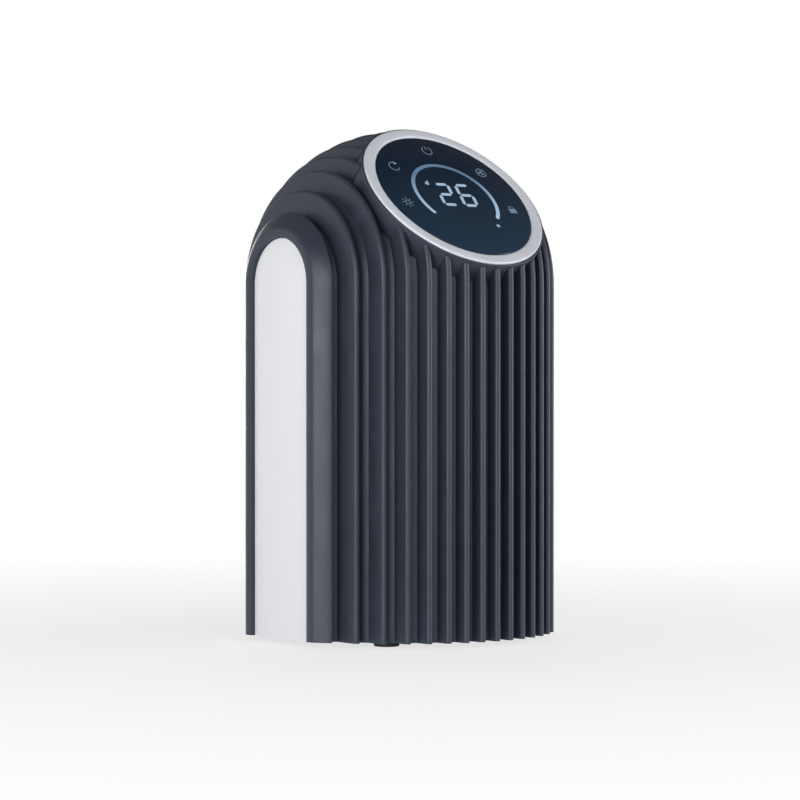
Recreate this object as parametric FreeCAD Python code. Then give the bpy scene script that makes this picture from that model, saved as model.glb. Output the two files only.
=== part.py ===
import FreeCAD, Part
import math
import os

from FreeCAD import Vector

# Domed table-top air purifier.  Millimetres, +Z up, origin on the table below the middle.
# The display faces -Y and up, the two white side panels face -X and +X, the filter door faces +Y.

# ---- form of the ribbed body ------------------------------------------------------------
body_radius = 110.0           # envelope of the fin tips, in plan and over the dome
dome_centre_height = 250.0    # centre of the dome above the table
foot_height = 4.0             # gap between the table and the lower edge of the shells
wall = 2.5                    # shell wall behind the grooves
groove_depth = 10.0           # fin tip to groove floor at the middle of the body
fin_pitch = 12.5
fin_thickness = 4.4
fin_edge_radius = 2.0
rim_stand = 4.4               # rim's flat beyond the envelope of the fin tips
rim_depth = 9.4               # thickness of the outermost fin, which frames the side panel
rim_land = 6.7                # flat of the rim beside the panel
rim_bulge = 1.3               # crown of the rim's edge
recess_wall = 6.0             # thickness left between the panel's recess and the outermost groove
parting_y = -12.0             # plane between the front and rear shells

# ---- side panels ------------------------------------------------------------------------
panel_half_width = 32.0
panel_depth = 7.2             # the panel is a hollow cap this deep
panel_wall = 2.4
panel_recess = 1.0            # panel face below the rim's flat
panel_gap = 0.3               # shut line around the panel
panel_edge_radius = 0.8
panel_pin_radius = 2.2
panel_pin_offset = 24.0       # pins from the middle of the panel
end_wall = 2.5                # wall behind the panel

# ---- fits and fasteners -----------------------------------------------------------------
seat_gap = 0.3                # between pieces that are assembled
screw_radius = 1.4
screw_head_radius = 2.8
screw_head_height = 1.4
screw_clearance = 0.1

# ---- control head -----------------------------------------------------------------------
head_tilt = 44.5              # degrees between the display's normal and vertical
head_inset = 39.2             # collar's edge inside the envelope's radius
head_wall = 2.6
collar_stand = 2.1            # collar's crest above the fin tips
collar_width = 1.4            # dark collar outside the silver ring
ring_width = 9.0
ring_proud = 1.4              # ring's crest above the collar
ring_height = 4.4
glass_thickness = 2.0
glass_below_ring = 0.5
mask_thickness = 1.6
board_thickness = 1.6
window_offset = 10.0          # middles of the mask's two windows from the head's axis
window_half_width = 7.0
window_half_height = 11.0
chip_radius = 6.4             # tall parts on the back of the board
chip_offset = 20.0
spring_height = 4.0           # touch springs between board and mask
spring_radius = 3.2
spring_wall = 1.0
spring_inset = 14.4           # touch marks inside the glass's edge
spring_first = -16.0          # degrees from straight across to the first touch mark
spring_step = 52.0
board_screw_first = 60.0      # degrees from straight across to the first board screw
spring_count = 5
head_depth = 30.0             # collar's crest to the underside of the housing
head_flange = 3.4             # snap rim under the shells
board_screw_inset = 10.4      # board's screws inside the glass's edge
lead_hole_radius = 8.0

# ---- base -------------------------------------------------------------------------------
base_thickness = 3.0
foot_radius = 9.0
foot_inset = 19.5             # feet's centres inside the shell
foot_pocket = 1.0
base_boss_radius = 6.5
base_boss_height = 20.0
base_boss_angle = 30.0        # degrees from the X axis
base_boss_sink = 0.5          # bosses run this far into the wall
seam_strip_half = 12.0
seam_strip_thickness = 2.5
seam_screw_offset = 7.0

# ---- filter bay, door and cartridge -----------------------------------------------------
door_half_width = 68.75       # middle of the groove that hides the door's side seam
door_bottom = 28.0
door_top_margin = 10.0        # door's upper seam below the dome's centre
door_gap = 0.3
slot_width = 5.0
slot_height = 14.0
slot_pitch = 20.0
grip_height = 16.0            # finger recess at the door's upper edge
latch_zone = 13.0             # height at each end of the door for the magnets
magnet_radius = 4.0
magnet_thickness = 2.5
magnet_offset = 25.0
latch_pad = 10.0              # width and height of each magnet's pad
latch_reach = 12.0            # bay's edge to its steel keepers
keeper_thickness = 1.5
bay_wall = 2.5
filter_half_width = 62.0
filter_depth = 40.0
filter_clearance = 0.5
filter_rail = 6.0             # width of the cartridge's frame
pleat_pitch = 5.0
pleat_fold = 8.0              # paper's thickness measured through a steep pleat
carbon_thickness = 5.0
mesh_thickness = 1.2
seal_thickness = 3.0
seal_width = 8.0
tab_width = 30.0
tab_reach = 14.0
tab_thickness = 1.2

# ---- fan --------------------------------------------------------------------------------
impeller_radius = 55.0
impeller_width = 34.0
blade_count = 30
blade_reach = 9.5             # radial depth of the blades
blade_lead = 6.0              # forward curve at the tip
blade_bow = 1.5               # forward curve at the blade's middle
blade_bow_reach = 5.25        # blade's middle outward from its root
blade_tip_gap = 0.6           # blade's tip inside the disc's edge
blade_thickness = 1.1
disc_thickness = 2.0
hub_radius = 9.0
hub_length = 14.0
nut_thickness = 5.0
nut_flats = 10.0
shaft_radius = 3.0
shaft_fit = 0.05
shaft_end = 1.0               # shaft beyond its nut
eye_radius = 46.0             # air inlet in the bay's back plate
plate_half_width = 90.0
guard_rib = 1.4
guard_ring_pitch = 10.0
guard_spokes = 6
scroll_gap = 5.0              # impeller to scroll at its tightest
scroll_growth = 5.0           # growth of the scroll per quarter turn
fan_wall = 2.2
fan_clearance = 4.0           # impeller to the housing, endways
motor_radius = 30.0
motor_length = 26.0
motor_pad = 2.0
motor_screw_circle = 22.0
motor_nose_radius = 8.0
ear_radius = 5.0
ear_length = 6.0
ear_sink = 1.0                # ears run this far into the scroll's wall
outlet_top_gap = 12.0         # outlet duct's rim below the dome's centre

# ---- dome outlet ------------------------------------------------------------------------
outlet_first_angle = 16.0     # degrees above the horizon, at the back
outlet_last_angle = 76.0
outlet_slots = 3
outlet_bridge = 4.0           # degrees of wall between the slots of one groove
vane_count = 9
vane_depth = 7.0
vane_thickness = 1.4
vane_lead = 1.0               # degrees from the vanes to the first and last slot

# ---- electrics --------------------------------------------------------------------------
board_half_width = 44.0
board_length = 70.0
board_setback = 14.0          # board's front edge inside the shell
standoff_height = 6.0
standoff_radius = 3.5
transformer_width = 28.0
transformer_depth = 26.0
transformer_height = 22.0
capacitor_radius = 6.0
capacitor_height = 20.0
connector_width = 16.0
connector_depth = 8.0
connector_height = 9.0
connector_offset = 19.2       # middles of the connectors from the board's middle
connector_inset = 2.0         # connectors behind the board's front edge
inlet_half_width = 14.0       # nose of the mains inlet
inlet_half_height = 7.5
inlet_height = 16.5           # inlet's axis above the table
inlet_flange = 3.0
inlet_nose = 3.5
inlet_body_depth = 16.0
inlet_nose_sink = 1.0
cavity_radius = 4.2
cavity_depth = 12.0
inlet_pin_radius = 1.15
inlet_pin_offset = 4.3
inlet_pin_length = 9.0
sensor_width = 14.0
sensor_depth = 25.0
sensor_tall = 46.0
sensor_height = 62.0
vent_count = 3                # slots in the shell beside the dust sensor
vent_height = 2.5
vent_pitch = 8.0
vent_reach = 8.0

# ---- worked out from the sizes above ----------------------------------------------------
floor_radius = body_radius - groove_depth
inner_radius = floor_radius - wall
rim_half_width = panel_half_width + panel_gap + rim_land
rim_face_x = math.sqrt(body_radius ** 2 - rim_half_width ** 2) + rim_stand
rim_back_x = rim_face_x - rim_depth
panel_face_x = rim_face_x - panel_recess
recess_x = panel_face_x - panel_depth
inner_end_x = recess_x - end_wall
fins_each_side = int((rim_back_x - fin_thickness) / fin_pitch)
door_fins_each_side = int(door_half_width / fin_pitch)
door_top = dome_centre_height - door_top_margin
base_top = foot_height + base_thickness
bay_bottom = door_bottom + latch_zone
bay_top = door_top - latch_zone
bay_half_width = filter_half_width + filter_clearance + bay_wall
bay_back_y = math.sqrt(inner_radius ** 2 - bay_half_width ** 2) - seat_gap
filter_back_y = bay_back_y - seat_gap
filter_front_y = filter_back_y - filter_depth
plate_back_y = filter_front_y - seal_thickness
plate_front_y = plate_back_y - bay_wall
filter_low = bay_bottom + bay_wall + filter_clearance
filter_high = bay_top - bay_wall - filter_clearance
fan_centre_z = (filter_low + filter_high) / 2
impeller_back_y = plate_front_y - fan_clearance
impeller_front_y = impeller_back_y - impeller_width
fan_floor_y = impeller_front_y - fan_clearance
motor_seat_y = fan_floor_y - fan_wall
outlet_top = dome_centre_height - outlet_top_gap
foot_circle = inner_radius - foot_inset
head_radius = body_radius - head_inset
ring_outer_radius = head_radius - collar_width
glass_radius = ring_outer_radius - ring_width
board_screw_circle = glass_radius - board_screw_inset
spring_circle = glass_radius - spring_inset
head_crest = math.sqrt(body_radius ** 2 - head_radius ** 2) + collar_stand
ring_crest = head_crest + ring_proud
ring_foot = ring_crest - ring_height
glass_crest = ring_crest - glass_below_ring
mask_crest = glass_crest - glass_thickness
mask_foot = mask_crest - mask_thickness
board_crest = mask_foot - spring_height
board_foot = board_crest - board_thickness
head_foot = head_crest - head_depth
dome_centre = Vector(0, 0, dome_centre_height)
tilt = math.radians(head_tilt)
head_axis = Vector(0, -math.sin(tilt), math.cos(tilt))
head_up = Vector(0, math.cos(tilt), math.sin(tilt))
head_side = Vector(1, 0, 0)
AXIS_X = Vector(1, 0, 0)
AXIS_Y = Vector(0, 1, 0)
AXIS_Z = Vector(0, 0, 1)
FRONT = -1
BACK = 1


# ---- small helpers ----------------------------------------------------------------------
def box(x_low, x_high, y_low, y_high, z_low, z_high):
    """A block between two corners."""
    return Part.makeBox(x_high - x_low, y_high - y_low, z_high - z_low, Vector(x_low, y_low, z_low))


def rod(radius, start, direction, length):
    """A round bar from a point along a direction."""
    return Part.makeCylinder(radius, length, start, direction)


def pipe(outer, inner, start, direction, length):
    """A round bar with a bore through it."""
    return rod(outer, start, direction, length).cut(rod(inner, start, direction, length))


def join(shapes):
    """Fuse shapes that overlap into one solid."""
    joined = shapes[0].multiFuse(shapes[1:]) if len(shapes) > 1 else shapes[0]
    return joined.removeSplitter()


def screw(seat, direction, length):
    """A pan-head screw: its head sits on seat and its shank runs along direction."""
    head = rod(screw_head_radius, seat - direction * screw_head_height, direction, screw_head_height)
    return join([head, rod(screw_radius, seat - direction * 0.5 * screw_head_height, direction, length)])


def screw_hole(seat, direction, length):
    """The clearance hole for a screw's shank, from its seat."""
    return rod(screw_radius + screw_clearance, seat, direction, length)


def head_point(distance, across=0.0, up=0.0):
    """A point of the tilted control head: distance along its axis, then across and up its face."""
    return dome_centre + head_axis * distance + head_side * across + head_up * up


def export(name, shape):
    """Write one node."""
    shape.exportStep("parts/%s.step" % name)


# ---- ribbed section, in the horizontal plane of the dome's centre -----------------------
def section_point(x, rho, side):
    """A point at x across the body and rho from the dome's X axis, on the front or back."""
    return Vector(x, side * rho, dome_centre_height)


def envelope(radius, x):
    """Distance from the X axis to a ball of this radius, at x."""
    return math.sqrt(radius ** 2 - x ** 2)


def section_line(start, end, side):
    """A straight edge between two (x, rho) places."""
    return Part.makeLine(section_point(*start, side), section_point(*end, side))


def ball_arc(radius, x_start, x_end, side):
    """An edge that follows a ball of this radius."""
    places = [x_start, (x_start + x_end) / 2, x_end]
    return Part.Arc(*[section_point(x, envelope(radius, x), side) for x in places]).toShape()


def corner_facets(centre_x, centre_rho, start_angle, end_angle, side):
    """A fin edge rounded by two narrow facets, angles in degrees from +X towards the tip."""
    points = []
    for angle in (start_angle, (start_angle + end_angle) / 2, end_angle):
        turn = math.radians(angle)
        x = centre_x + fin_edge_radius * math.cos(turn)
        points.append(section_point(x, centre_rho + fin_edge_radius * math.sin(turn), side))
    return [Part.makeLine(points[0], points[1]), Part.makeLine(points[1], points[2])]


def fin_edges(index, side):
    """One fin from groove floor to groove floor: flank, rounded tip, flank."""
    middle = index * fin_pitch
    left = middle - fin_thickness / 2
    right = middle + fin_thickness / 2
    shoulder = envelope(body_radius - fin_edge_radius, middle)
    tip = shoulder + fin_edge_radius
    edges = [section_line((left, envelope(floor_radius, left)), (left, shoulder), side)]
    edges += corner_facets(left + fin_edge_radius, shoulder, 180, 90, side)
    edges.append(section_line((left + fin_edge_radius, tip), (right - fin_edge_radius, tip), side))
    edges += corner_facets(right - fin_edge_radius, shoulder, 90, 0, side)
    edges.append(section_line((right, shoulder), (right, envelope(floor_radius, right)), side))
    return edges


def rib_run(fins, side):
    """Edges of neighbouring fins from -X to +X with the groove floors between them."""
    edges = []
    for index in range(-fins, fins + 1):
        if index > -fins:
            left = (index - 1) * fin_pitch + fin_thickness / 2
            edges.append(ball_arc(floor_radius, left, left + fin_pitch - fin_thickness, side))
        edges.extend(fin_edges(index, side))
    return edges


def rim_edges(end, side):
    """One end of the section: end wall, panel recess, rim and the outermost groove."""
    recess_rho = panel_half_width + panel_gap
    rim_middle_x = rim_face_x - rim_depth / 2
    rim_back_rho = envelope(body_radius, rim_back_x)
    neck_rho = recess_rho + recess_wall
    flank_x = fins_each_side * fin_pitch + fin_thickness / 2
    crown_rho = (rim_half_width + rim_back_rho) / 2 + rim_bulge
    crown = section_point(end * rim_middle_x, crown_rho, side)
    rim_start = section_point(end * rim_face_x, rim_half_width, side)
    rim_end = section_point(end * rim_back_x, rim_back_rho, side)
    return [
        section_line((end * inner_end_x, 0), (end * recess_x, 0), side),
        section_line((end * recess_x, 0), (end * recess_x, recess_rho), side),
        section_line((end * recess_x, recess_rho), (end * rim_face_x, recess_rho), side),
        section_line((end * rim_face_x, recess_rho), (end * rim_face_x, rim_half_width), side),
        Part.Arc(rim_start, crown, rim_end).toShape(),
        section_line((end * rim_back_x, rim_back_rho), (end * rim_back_x, neck_rho), side),
        section_line((end * rim_back_x, neck_rho), (end * flank_x, envelope(floor_radius, flank_x)), side),
    ]


def inner_edges(side):
    """Inside of the wall, from end wall to end wall."""
    inner_rho = envelope(inner_radius, inner_end_x)
    return [
        section_line((-inner_end_x, 0), (-inner_end_x, inner_rho), side),
        ball_arc(inner_radius, -inner_end_x, inner_end_x, side),
        section_line((inner_end_x, inner_rho), (inner_end_x, 0), side),
    ]


def section_face(edges):
    """A flat face inside a closed run of edges given in any order."""
    return Part.Face(Part.Wire(Part.__sortEdges__(edges)))


def base_boss_places(side):
    """Centres of the two screw bosses that stand on the base plate in one shell."""
    reach = inner_radius - base_boss_radius + base_boss_sink
    angle = math.radians(base_boss_angle)
    return [Vector(end * reach * math.cos(angle), side * reach * math.sin(angle), base_top)
            for end in (-1, 1)]


def section_edges(side):
    """The whole outline of the section on one side of the X axis."""
    return rim_edges(-1, side) + rib_run(fins_each_side, side) + rim_edges(1, side) + inner_edges(side)


def ribbed_body():
    """The section drawn down to the lower edge and turned over the dome, with four bosses inside."""
    front = section_face(section_edges(FRONT))
    back = section_face(section_edges(BACK))
    down = Vector(0, 0, foot_height - dome_centre_height)
    pieces = [front.extrude(down), back.extrude(down), front.revolve(dome_centre, AXIS_X, -180)]
    inside = rod(inner_radius + wall / 2, Vector(0, 0, 0), AXIS_Z, door_bottom)
    for place in base_boss_places(FRONT) + base_boss_places(BACK):
        pieces.append(rod(base_boss_radius, place, AXIS_Z, base_boss_height).common(inside))
    return join(pieces)


# ---- shells -----------------------------------------------------------------------------
def seam_screw_heights():
    """Heights of the screws that tie the shells to the seam strips."""
    low = base_top + base_boss_height
    high = dome_centre_height - base_boss_height
    return [low, (low + high) / 2, high]


def panel_pin_heights():
    """Heights of the side panels' pins."""
    low, middle, high = seam_screw_heights()
    return [(low + middle) / 2, (middle + high) / 2]


def shell_fittings(shell, side):
    """Screw seats and the holes for the side panels' pins."""
    cuts = [screw_hole(place, AXIS_Z, base_boss_height - wall) for place in base_boss_places(side)]
    for end in (-1, 1):
        outward = AXIS_X * end
        for height in seam_screw_heights():
            seat = Vector(end * recess_x, parting_y + side * seam_screw_offset, height)
            cuts.append(screw_hole(seat, outward * -1, end_wall + seam_strip_thickness))
            cuts.append(rod(screw_head_radius + screw_clearance, seat, outward * -1, screw_head_height))
        for height in panel_pin_heights():
            pin = Vector(end * recess_x, side * panel_pin_offset, height)
            cuts.append(rod(panel_pin_radius + seat_gap, pin, outward * -1, end_wall + wall * 4))
    return shell.cut(cuts)


def parted_body():
    """The body with the head's seat cut out, split at the parting plane into front and rear.

    Short fin ends that the seat cuts loose from the front stay on the rear, where they are rooted.
    """
    body = ribbed_body()
    seat = rod(head_radius + seat_gap, head_point(head_foot - head_wall), head_axis, body_radius)
    reach = 2 * body_radius
    height = dome_centre_height + reach
    front = body.common(box(-reach, reach, -reach, parting_y, 0, height)).cut(seat)
    rear = body.common(box(-reach, reach, parting_y, reach, 0, height)).cut(seat)
    pieces = sorted(front.Solids, key=lambda piece: piece.Volume)
    return pieces[-1], rear.multiFuse(pieces[:-1])


def front_shell():
    """Front part of the ribbed body; its grooves are closed."""
    return shell_fittings(front_body, FRONT)


def outlet_cutters():
    """Curved slots through the groove floors at the back of the dome."""
    span = (outlet_last_angle - outlet_first_angle - (outlet_slots - 1) * outlet_bridge) / outlet_slots
    cutters = []
    for index in range(-door_fins_each_side - 1, door_fins_each_side + 1):
        middle = (index + 0.5) * fin_pitch
        edges = [
            ball_arc(floor_radius + 1, middle - slot_width / 2, middle + slot_width / 2, BACK),
            ball_arc(inner_radius - 1, middle - slot_width / 2, middle + slot_width / 2, BACK),
        ]
        for x in (middle - slot_width / 2, middle + slot_width / 2):
            outside = (x, envelope(floor_radius + 1, x))
            edges.append(section_line(outside, (x, envelope(inner_radius - 1, x)), BACK))
        face = section_face(edges)
        for slot in range(outlet_slots):
            first = outlet_first_angle + slot * (span + outlet_bridge)
            turned = face.copy()
            turned.rotate(dome_centre, AXIS_X, first)
            cutters.append(turned.revolve(dome_centre, AXIS_X, span))
    return cutters


def sensor_vents():
    """Slots in a groove beside the dust sensor."""
    middle = (door_fins_each_side + 1.5) * fin_pitch
    inside = envelope(inner_radius, middle)
    first = sensor_height + sensor_tall / 4
    lows = [first + step * vent_pitch for step in range(vent_count)]
    return [box(middle - slot_width / 2, middle + slot_width / 2, inside - vent_reach, inside + vent_reach,
                low, low + vent_height) for low in lows]


def rear_shell():
    """Back half of the ribbed body, with the door opening, the dome outlet and the inlet's pocket."""
    shell = shell_fittings(rear_body, BACK)
    cuts = [box(-door_half_width, door_half_width, bay_back_y - filter_depth, body_radius,
                door_bottom, door_top)]
    wide = inlet_half_width + seat_gap
    high = inlet_half_height + seat_gap
    cuts.append(box(-wide, wide, inner_radius - wall * 4, body_radius,
                    inlet_height - high, inlet_height + high))
    return shell.cut(cuts + outlet_cutters() + sensor_vents())


def arched_block(end, half_width, low, start, depth):
    """A block with an arched top that stands out from start along +X or -X."""
    top = dome_centre_height
    corners = [Vector(end * start, -half_width, low), Vector(end * start, -half_width, top)]
    corners += [Vector(end * start, half_width, top), Vector(end * start, half_width, low)]
    arch = Part.Arc(corners[1], Vector(end * start, 0, top + half_width), corners[2]).toShape()
    edges = [Part.makeLine(corners[0], corners[1]), arch]
    edges += [Part.makeLine(corners[2], corners[3]), Part.makeLine(corners[3], corners[0])]
    return Part.Face(Part.Wire(edges)).extrude(AXIS_X * end * depth)


def side_panel(end):
    """White arched cap that fills the recess in one rim, with four pins into the end walls."""
    cap = arched_block(end, panel_half_width, foot_height, recess_x, panel_depth)
    outer = [edge for edge in cap.Edges if all(abs(abs(v.X) - panel_face_x) < 0.01 for v in edge.Vertexes)]
    cap = cap.makeFillet(panel_edge_radius, outer)
    hollow = arched_block(end, panel_half_width - panel_wall, foot_height + panel_wall, recess_x,
                          panel_depth - panel_wall)
    cap = cap.cut(hollow)
    pins = []
    for y in (-panel_pin_offset, panel_pin_offset):
        for height in panel_pin_heights():
            start = Vector(end * (panel_face_x - panel_wall / 2), y, height)
            pins.append(rod(panel_pin_radius, start, AXIS_X * -end, panel_depth - panel_wall / 2 + end_wall))
    return join([cap] + pins)


def seam_screw_places(x):
    """Screws through the end walls, on both sides of the parting plane."""
    return [Vector(x, parting_y + side * seam_screw_offset, height)
            for side in (FRONT, BACK) for height in seam_screw_heights()]


def seam_strips():
    """Strips behind the end walls that tie the front and rear shells together."""
    inside = rod(inner_radius - seat_gap, Vector(0, 0, 0), AXIS_Z, dome_centre_height)
    strips = []
    for end in (-1, 1):
        inner = end * (inner_end_x - seam_strip_thickness)
        outer = end * inner_end_x
        bar = box(min(inner, outer), max(inner, outer),
                  parting_y - seam_strip_half, parting_y + seam_strip_half, base_top, dome_centre_height)
        holes = [screw_hole(place, AXIS_X * -end, seam_strip_thickness) for place in seam_screw_places(outer)]
        strips.append(bar.common(inside).cut(holes))
    return Part.makeCompound(strips)


def seam_screws():
    """Screws through the end walls into the seam strips, under the side panels."""
    screws = []
    for end in (-1, 1):
        for seat in seam_screw_places(end * (recess_x - screw_head_height)):
            screws.append(screw(seat, AXIS_X * -end, end_wall + seam_strip_thickness - screw_head_height))
    return Part.makeCompound(screws)


# ---- control head -----------------------------------------------------------------------
def control_housing():
    """Dark collar with a ledge for ring and glass, a cup for the board and a snap rim under the shells."""
    crest = head_point(head_crest)
    collar = rod(head_radius, head_point(head_foot), head_axis, head_depth)
    collar = collar.makeFillet(collar_width / 2, [edge for edge in collar.Edges if edge.Closed
                               and edge.CenterOfMass.distanceToPoint(crest) < 0.01])
    rim_radius = head_radius + head_flange
    rim_height = math.sqrt(inner_radius ** 2 - rim_radius ** 2) - seat_gap - head_foot
    body = join([collar, rod(rim_radius, head_point(head_foot), head_axis, rim_height)])
    cup_radius = glass_radius - head_wall
    body = body.cut(rod(ring_outer_radius + seat_gap, head_point(ring_foot), head_axis, head_depth))
    body = body.cut(rod(cup_radius, head_point(head_foot + head_wall), head_axis, head_depth))
    body = body.cut(pipe(head_radius - head_wall, glass_radius, head_point(head_foot), head_axis,
                         ring_foot - head_wall - head_foot))
    body = body.cut(rod(lead_hole_radius, head_point(head_foot), head_axis, head_wall))
    post_height = board_foot - head_foot - head_wall
    posts = [pipe(standoff_radius, screw_radius + screw_clearance, place, head_axis, post_height)
             for place in board_screw_places(head_foot + head_wall)]
    return join([body] + posts)


def around_head(radius, distance, count, step, first):
    """Places on a circle of the head, step and first angle in degrees from straight across."""
    turns = [math.radians(first + index * step) for index in range(count)]
    return [head_point(distance, radius * math.cos(turn), radius * math.sin(turn)) for turn in turns]


def board_screw_places(distance):
    """Screws that hold the display board."""
    return around_head(board_screw_circle, distance, 4, 90, board_screw_first)


def display_ring():
    """Silver ring around the glass, crowned at both edges."""
    start = head_point(ring_foot)
    ring = pipe(ring_outer_radius, glass_radius + seat_gap, start, head_axis, ring_height)
    rims = [edge for edge in ring.Edges if edge.Closed
            and edge.CenterOfMass.distanceToPoint(head_point(ring_crest)) < 0.01]
    return ring.makeFillet(ring_proud, rims)


def display_glass():
    """Dark cover glass."""
    glass = rod(glass_radius, head_point(mask_crest), head_axis, glass_thickness)
    rim = [edge for edge in glass.Edges if edge.Closed
           and edge.CenterOfMass.distanceToPoint(head_point(glass_crest)) < 0.01]
    return glass.makeFillet(glass_thickness / 5, rim)


def light_mask():
    """White mask behind the glass, with windows for the figures and the arc."""
    mask = rod(glass_radius - seat_gap, head_point(mask_foot), head_axis, mask_thickness)
    windows = []
    for across in (-window_offset, window_offset):
        window = box(-window_half_width, window_half_width, -window_half_height, window_half_height,
                     0, 3 * mask_thickness)
        window.Placement = FreeCAD.Placement(head_point(mask_foot - mask_thickness, across),
                                             FreeCAD.Rotation(AXIS_X, head_tilt))
        windows.append(window)
    return mask.cut(windows)


def display_board():
    """Round circuit board with its two tall parts on the back."""
    board = rod(glass_radius - head_wall - seat_gap, head_point(board_foot), head_axis, board_thickness)
    holes = [screw_hole(place, head_axis, board_thickness) for place in board_screw_places(board_foot)]
    chips = [rod(chip_radius, head_point(board_foot, across), head_axis * -1, spring_height)
             for across in (-chip_offset, chip_offset)]
    return join([board.cut(holes)] + chips)


def touch_springs():
    """Touch springs between the board and the mask, under the touch marks."""
    places = around_head(spring_circle, board_crest, spring_count, spring_step, spring_first)
    return Part.makeCompound([pipe(spring_radius, spring_radius - spring_wall, place, head_axis, spring_height)
                              for place in places])


def display_screws():
    """Screws that hold the display board on the housing's posts."""
    return Part.makeCompound([screw(place, head_axis * -1, board_thickness + standoff_height)
                              for place in board_screw_places(board_crest)])


# ---- base -------------------------------------------------------------------------------
def base_plate():
    """Round floor of the purifier, with foot pockets, screw seats and posts for the power board."""
    plate = rod(inner_radius - seat_gap, Vector(0, 0, foot_height), AXIS_Z, base_thickness)
    reach = inner_end_x - seat_gap
    plate = plate.common(box(-reach, reach, -body_radius, body_radius, 0, dome_centre_height))
    posts = [rod(standoff_radius, Vector(x, y, base_top - base_thickness / 2), AXIS_Z,
                 standoff_height + base_thickness / 2) for x, y in board_corners()]
    plate = join([plate] + posts)
    pocket = foot_radius + screw_clearance
    cuts = [rod(pocket, place, AXIS_Z, foot_pocket) for place in foot_places(foot_height)]
    for side in (FRONT, BACK):
        for place in base_boss_places(side):
            under = Vector(place.x, place.y, foot_height)
            cuts.append(screw_hole(under, AXIS_Z, base_thickness))
            seat = screw_head_height + screw_clearance
            cuts.append(rod(screw_head_radius + screw_clearance, under, AXIS_Z, seat))
    for x, y in board_corners():
        cuts.append(screw_hole(Vector(x, y, base_top), AXIS_Z, standoff_height))
    for place in bay_foot_places(base_top):
        cuts.append(screw_hole(place, AXIS_Z * -1, base_thickness - seat_gap))
    return plate.cut(cuts)


def foot_places(height):
    """Centres of the four feet."""
    turns = [math.radians(45 + 90 * step) for step in range(4)]
    return [Vector(foot_circle * math.cos(turn), foot_circle * math.sin(turn), height) for turn in turns]


def rubber_feet():
    """Four round feet in their pockets."""
    return Part.makeCompound([rod(foot_radius, place, AXIS_Z, foot_height + foot_pocket)
                              for place in foot_places(0)])


def base_screws():
    """Screws from below through the base plate into the shells' bosses."""
    seat_z = foot_height + screw_head_height + screw_clearance
    places = base_boss_places(FRONT) + base_boss_places(BACK)
    return Part.makeCompound([screw(Vector(place.x, place.y, seat_z), AXIS_Z, base_boss_height / 2)
                              for place in places])


# ---- filter bay, door and cartridge -----------------------------------------------------
def bay_foot_places(height):
    """Screws that hold the bay's feet to the base plate."""
    y = (plate_back_y + bay_back_y) / 2
    return [Vector(end * (bay_half_width - bay_wall - ear_radius), y, height) for end in (-1, 1)]


def latch_heights():
    """Middles of the two latch zones."""
    return [door_bottom + latch_zone / 2, door_top - latch_zone / 2]


def latch_places():
    """(x, z) of the four magnets."""
    return [(x, z) for z in latch_heights() for x in (-magnet_offset, magnet_offset)]


def filter_bay():
    """Frame that holds the cartridge: back plate with the fan's eye, four walls, feet and latch tabs."""
    plate = box(-plate_half_width, plate_half_width, plate_front_y, plate_back_y, base_top, outlet_top)
    pieces = [plate]
    outer = bay_half_width
    for end in (-1, 1):
        low = min(end * outer, end * (outer - bay_wall))
        pieces.append(box(low, low + bay_wall, plate_front_y, bay_back_y, base_top, bay_top))
        low = min(end * outer, end * (outer - 2 * ear_radius - bay_wall))
        pieces.append(box(low, low + 2 * ear_radius + bay_wall, plate_front_y, bay_back_y, base_top,
                          base_top + bay_wall))
    for low in (bay_bottom, bay_top - bay_wall):
        pieces.append(box(-outer, outer, plate_front_y, bay_back_y, low, low + bay_wall))
    for x, z in latch_places():
        below = z < fan_centre_z
        face = bay_bottom if below else bay_top
        far = z - latch_pad / 2 if below else z + latch_pad / 2
        keeper_y = bay_back_y + latch_reach
        left = x - latch_pad / 2
        right = left + latch_pad
        pieces.append(box(left, right, keeper_y - bay_wall, keeper_y, min(face, far), max(face, far)))
        arm_low = face if below else face - bay_wall
        pieces.append(box(left, right, bay_back_y - bay_wall, keeper_y, arm_low, arm_low + bay_wall))
    bay = join(pieces)
    centre = Vector(0, plate_front_y, fan_centre_z)
    cuts = [rod(eye_radius, centre, AXIS_Y, bay_wall)]
    for place in bay_foot_places(base_top):
        cuts.append(screw_hole(place, AXIS_Z, bay_wall))
    for x, z in ear_places():
        cuts.append(screw_hole(Vector(x, plate_front_y, z), AXIS_Y, bay_wall))
    return bay.cut(cuts)


def bay_screws():
    """Screws through the bay's feet into the base plate."""
    length = bay_wall + base_thickness / 2
    places = bay_foot_places(base_top + bay_wall)
    return Part.makeCompound([screw(place, AXIS_Z * -1, length) for place in places])


def latch_keepers():
    """Steel plates on the bay's tabs, which the door's magnets hold."""
    y = bay_back_y + latch_reach
    half = magnet_radius
    return Part.makeCompound([box(x - half, x + half, y, y + keeper_thickness, z - half, z + half)
                              for x, z in latch_places()])


def pad_face_y():
    """Face of the door's magnet pads."""
    return bay_back_y + latch_reach + keeper_thickness + seat_gap


def door_magnets():
    """Magnets set flush in the door's pads."""
    return Part.makeCompound([rod(magnet_radius, Vector(x, pad_face_y(), z), AXIS_Y, magnet_thickness)
                              for x, z in latch_places()])


def door_slots():
    """Air slots through the groove floors of the door."""
    rows = int((bay_top - bay_bottom) / slot_pitch)
    first = fan_centre_z - (rows - 1) * slot_pitch / 2 - slot_height / 2
    cuts = []
    for index in range(-door_fins_each_side, door_fins_each_side):
        middle = (index + 0.5) * fin_pitch
        for row in range(rows):
            low = first + row * slot_pitch
            cuts.append(box(middle - slot_width / 2, middle + slot_width / 2, bay_back_y, body_radius,
                            low, low + slot_height))
    return cuts


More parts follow.
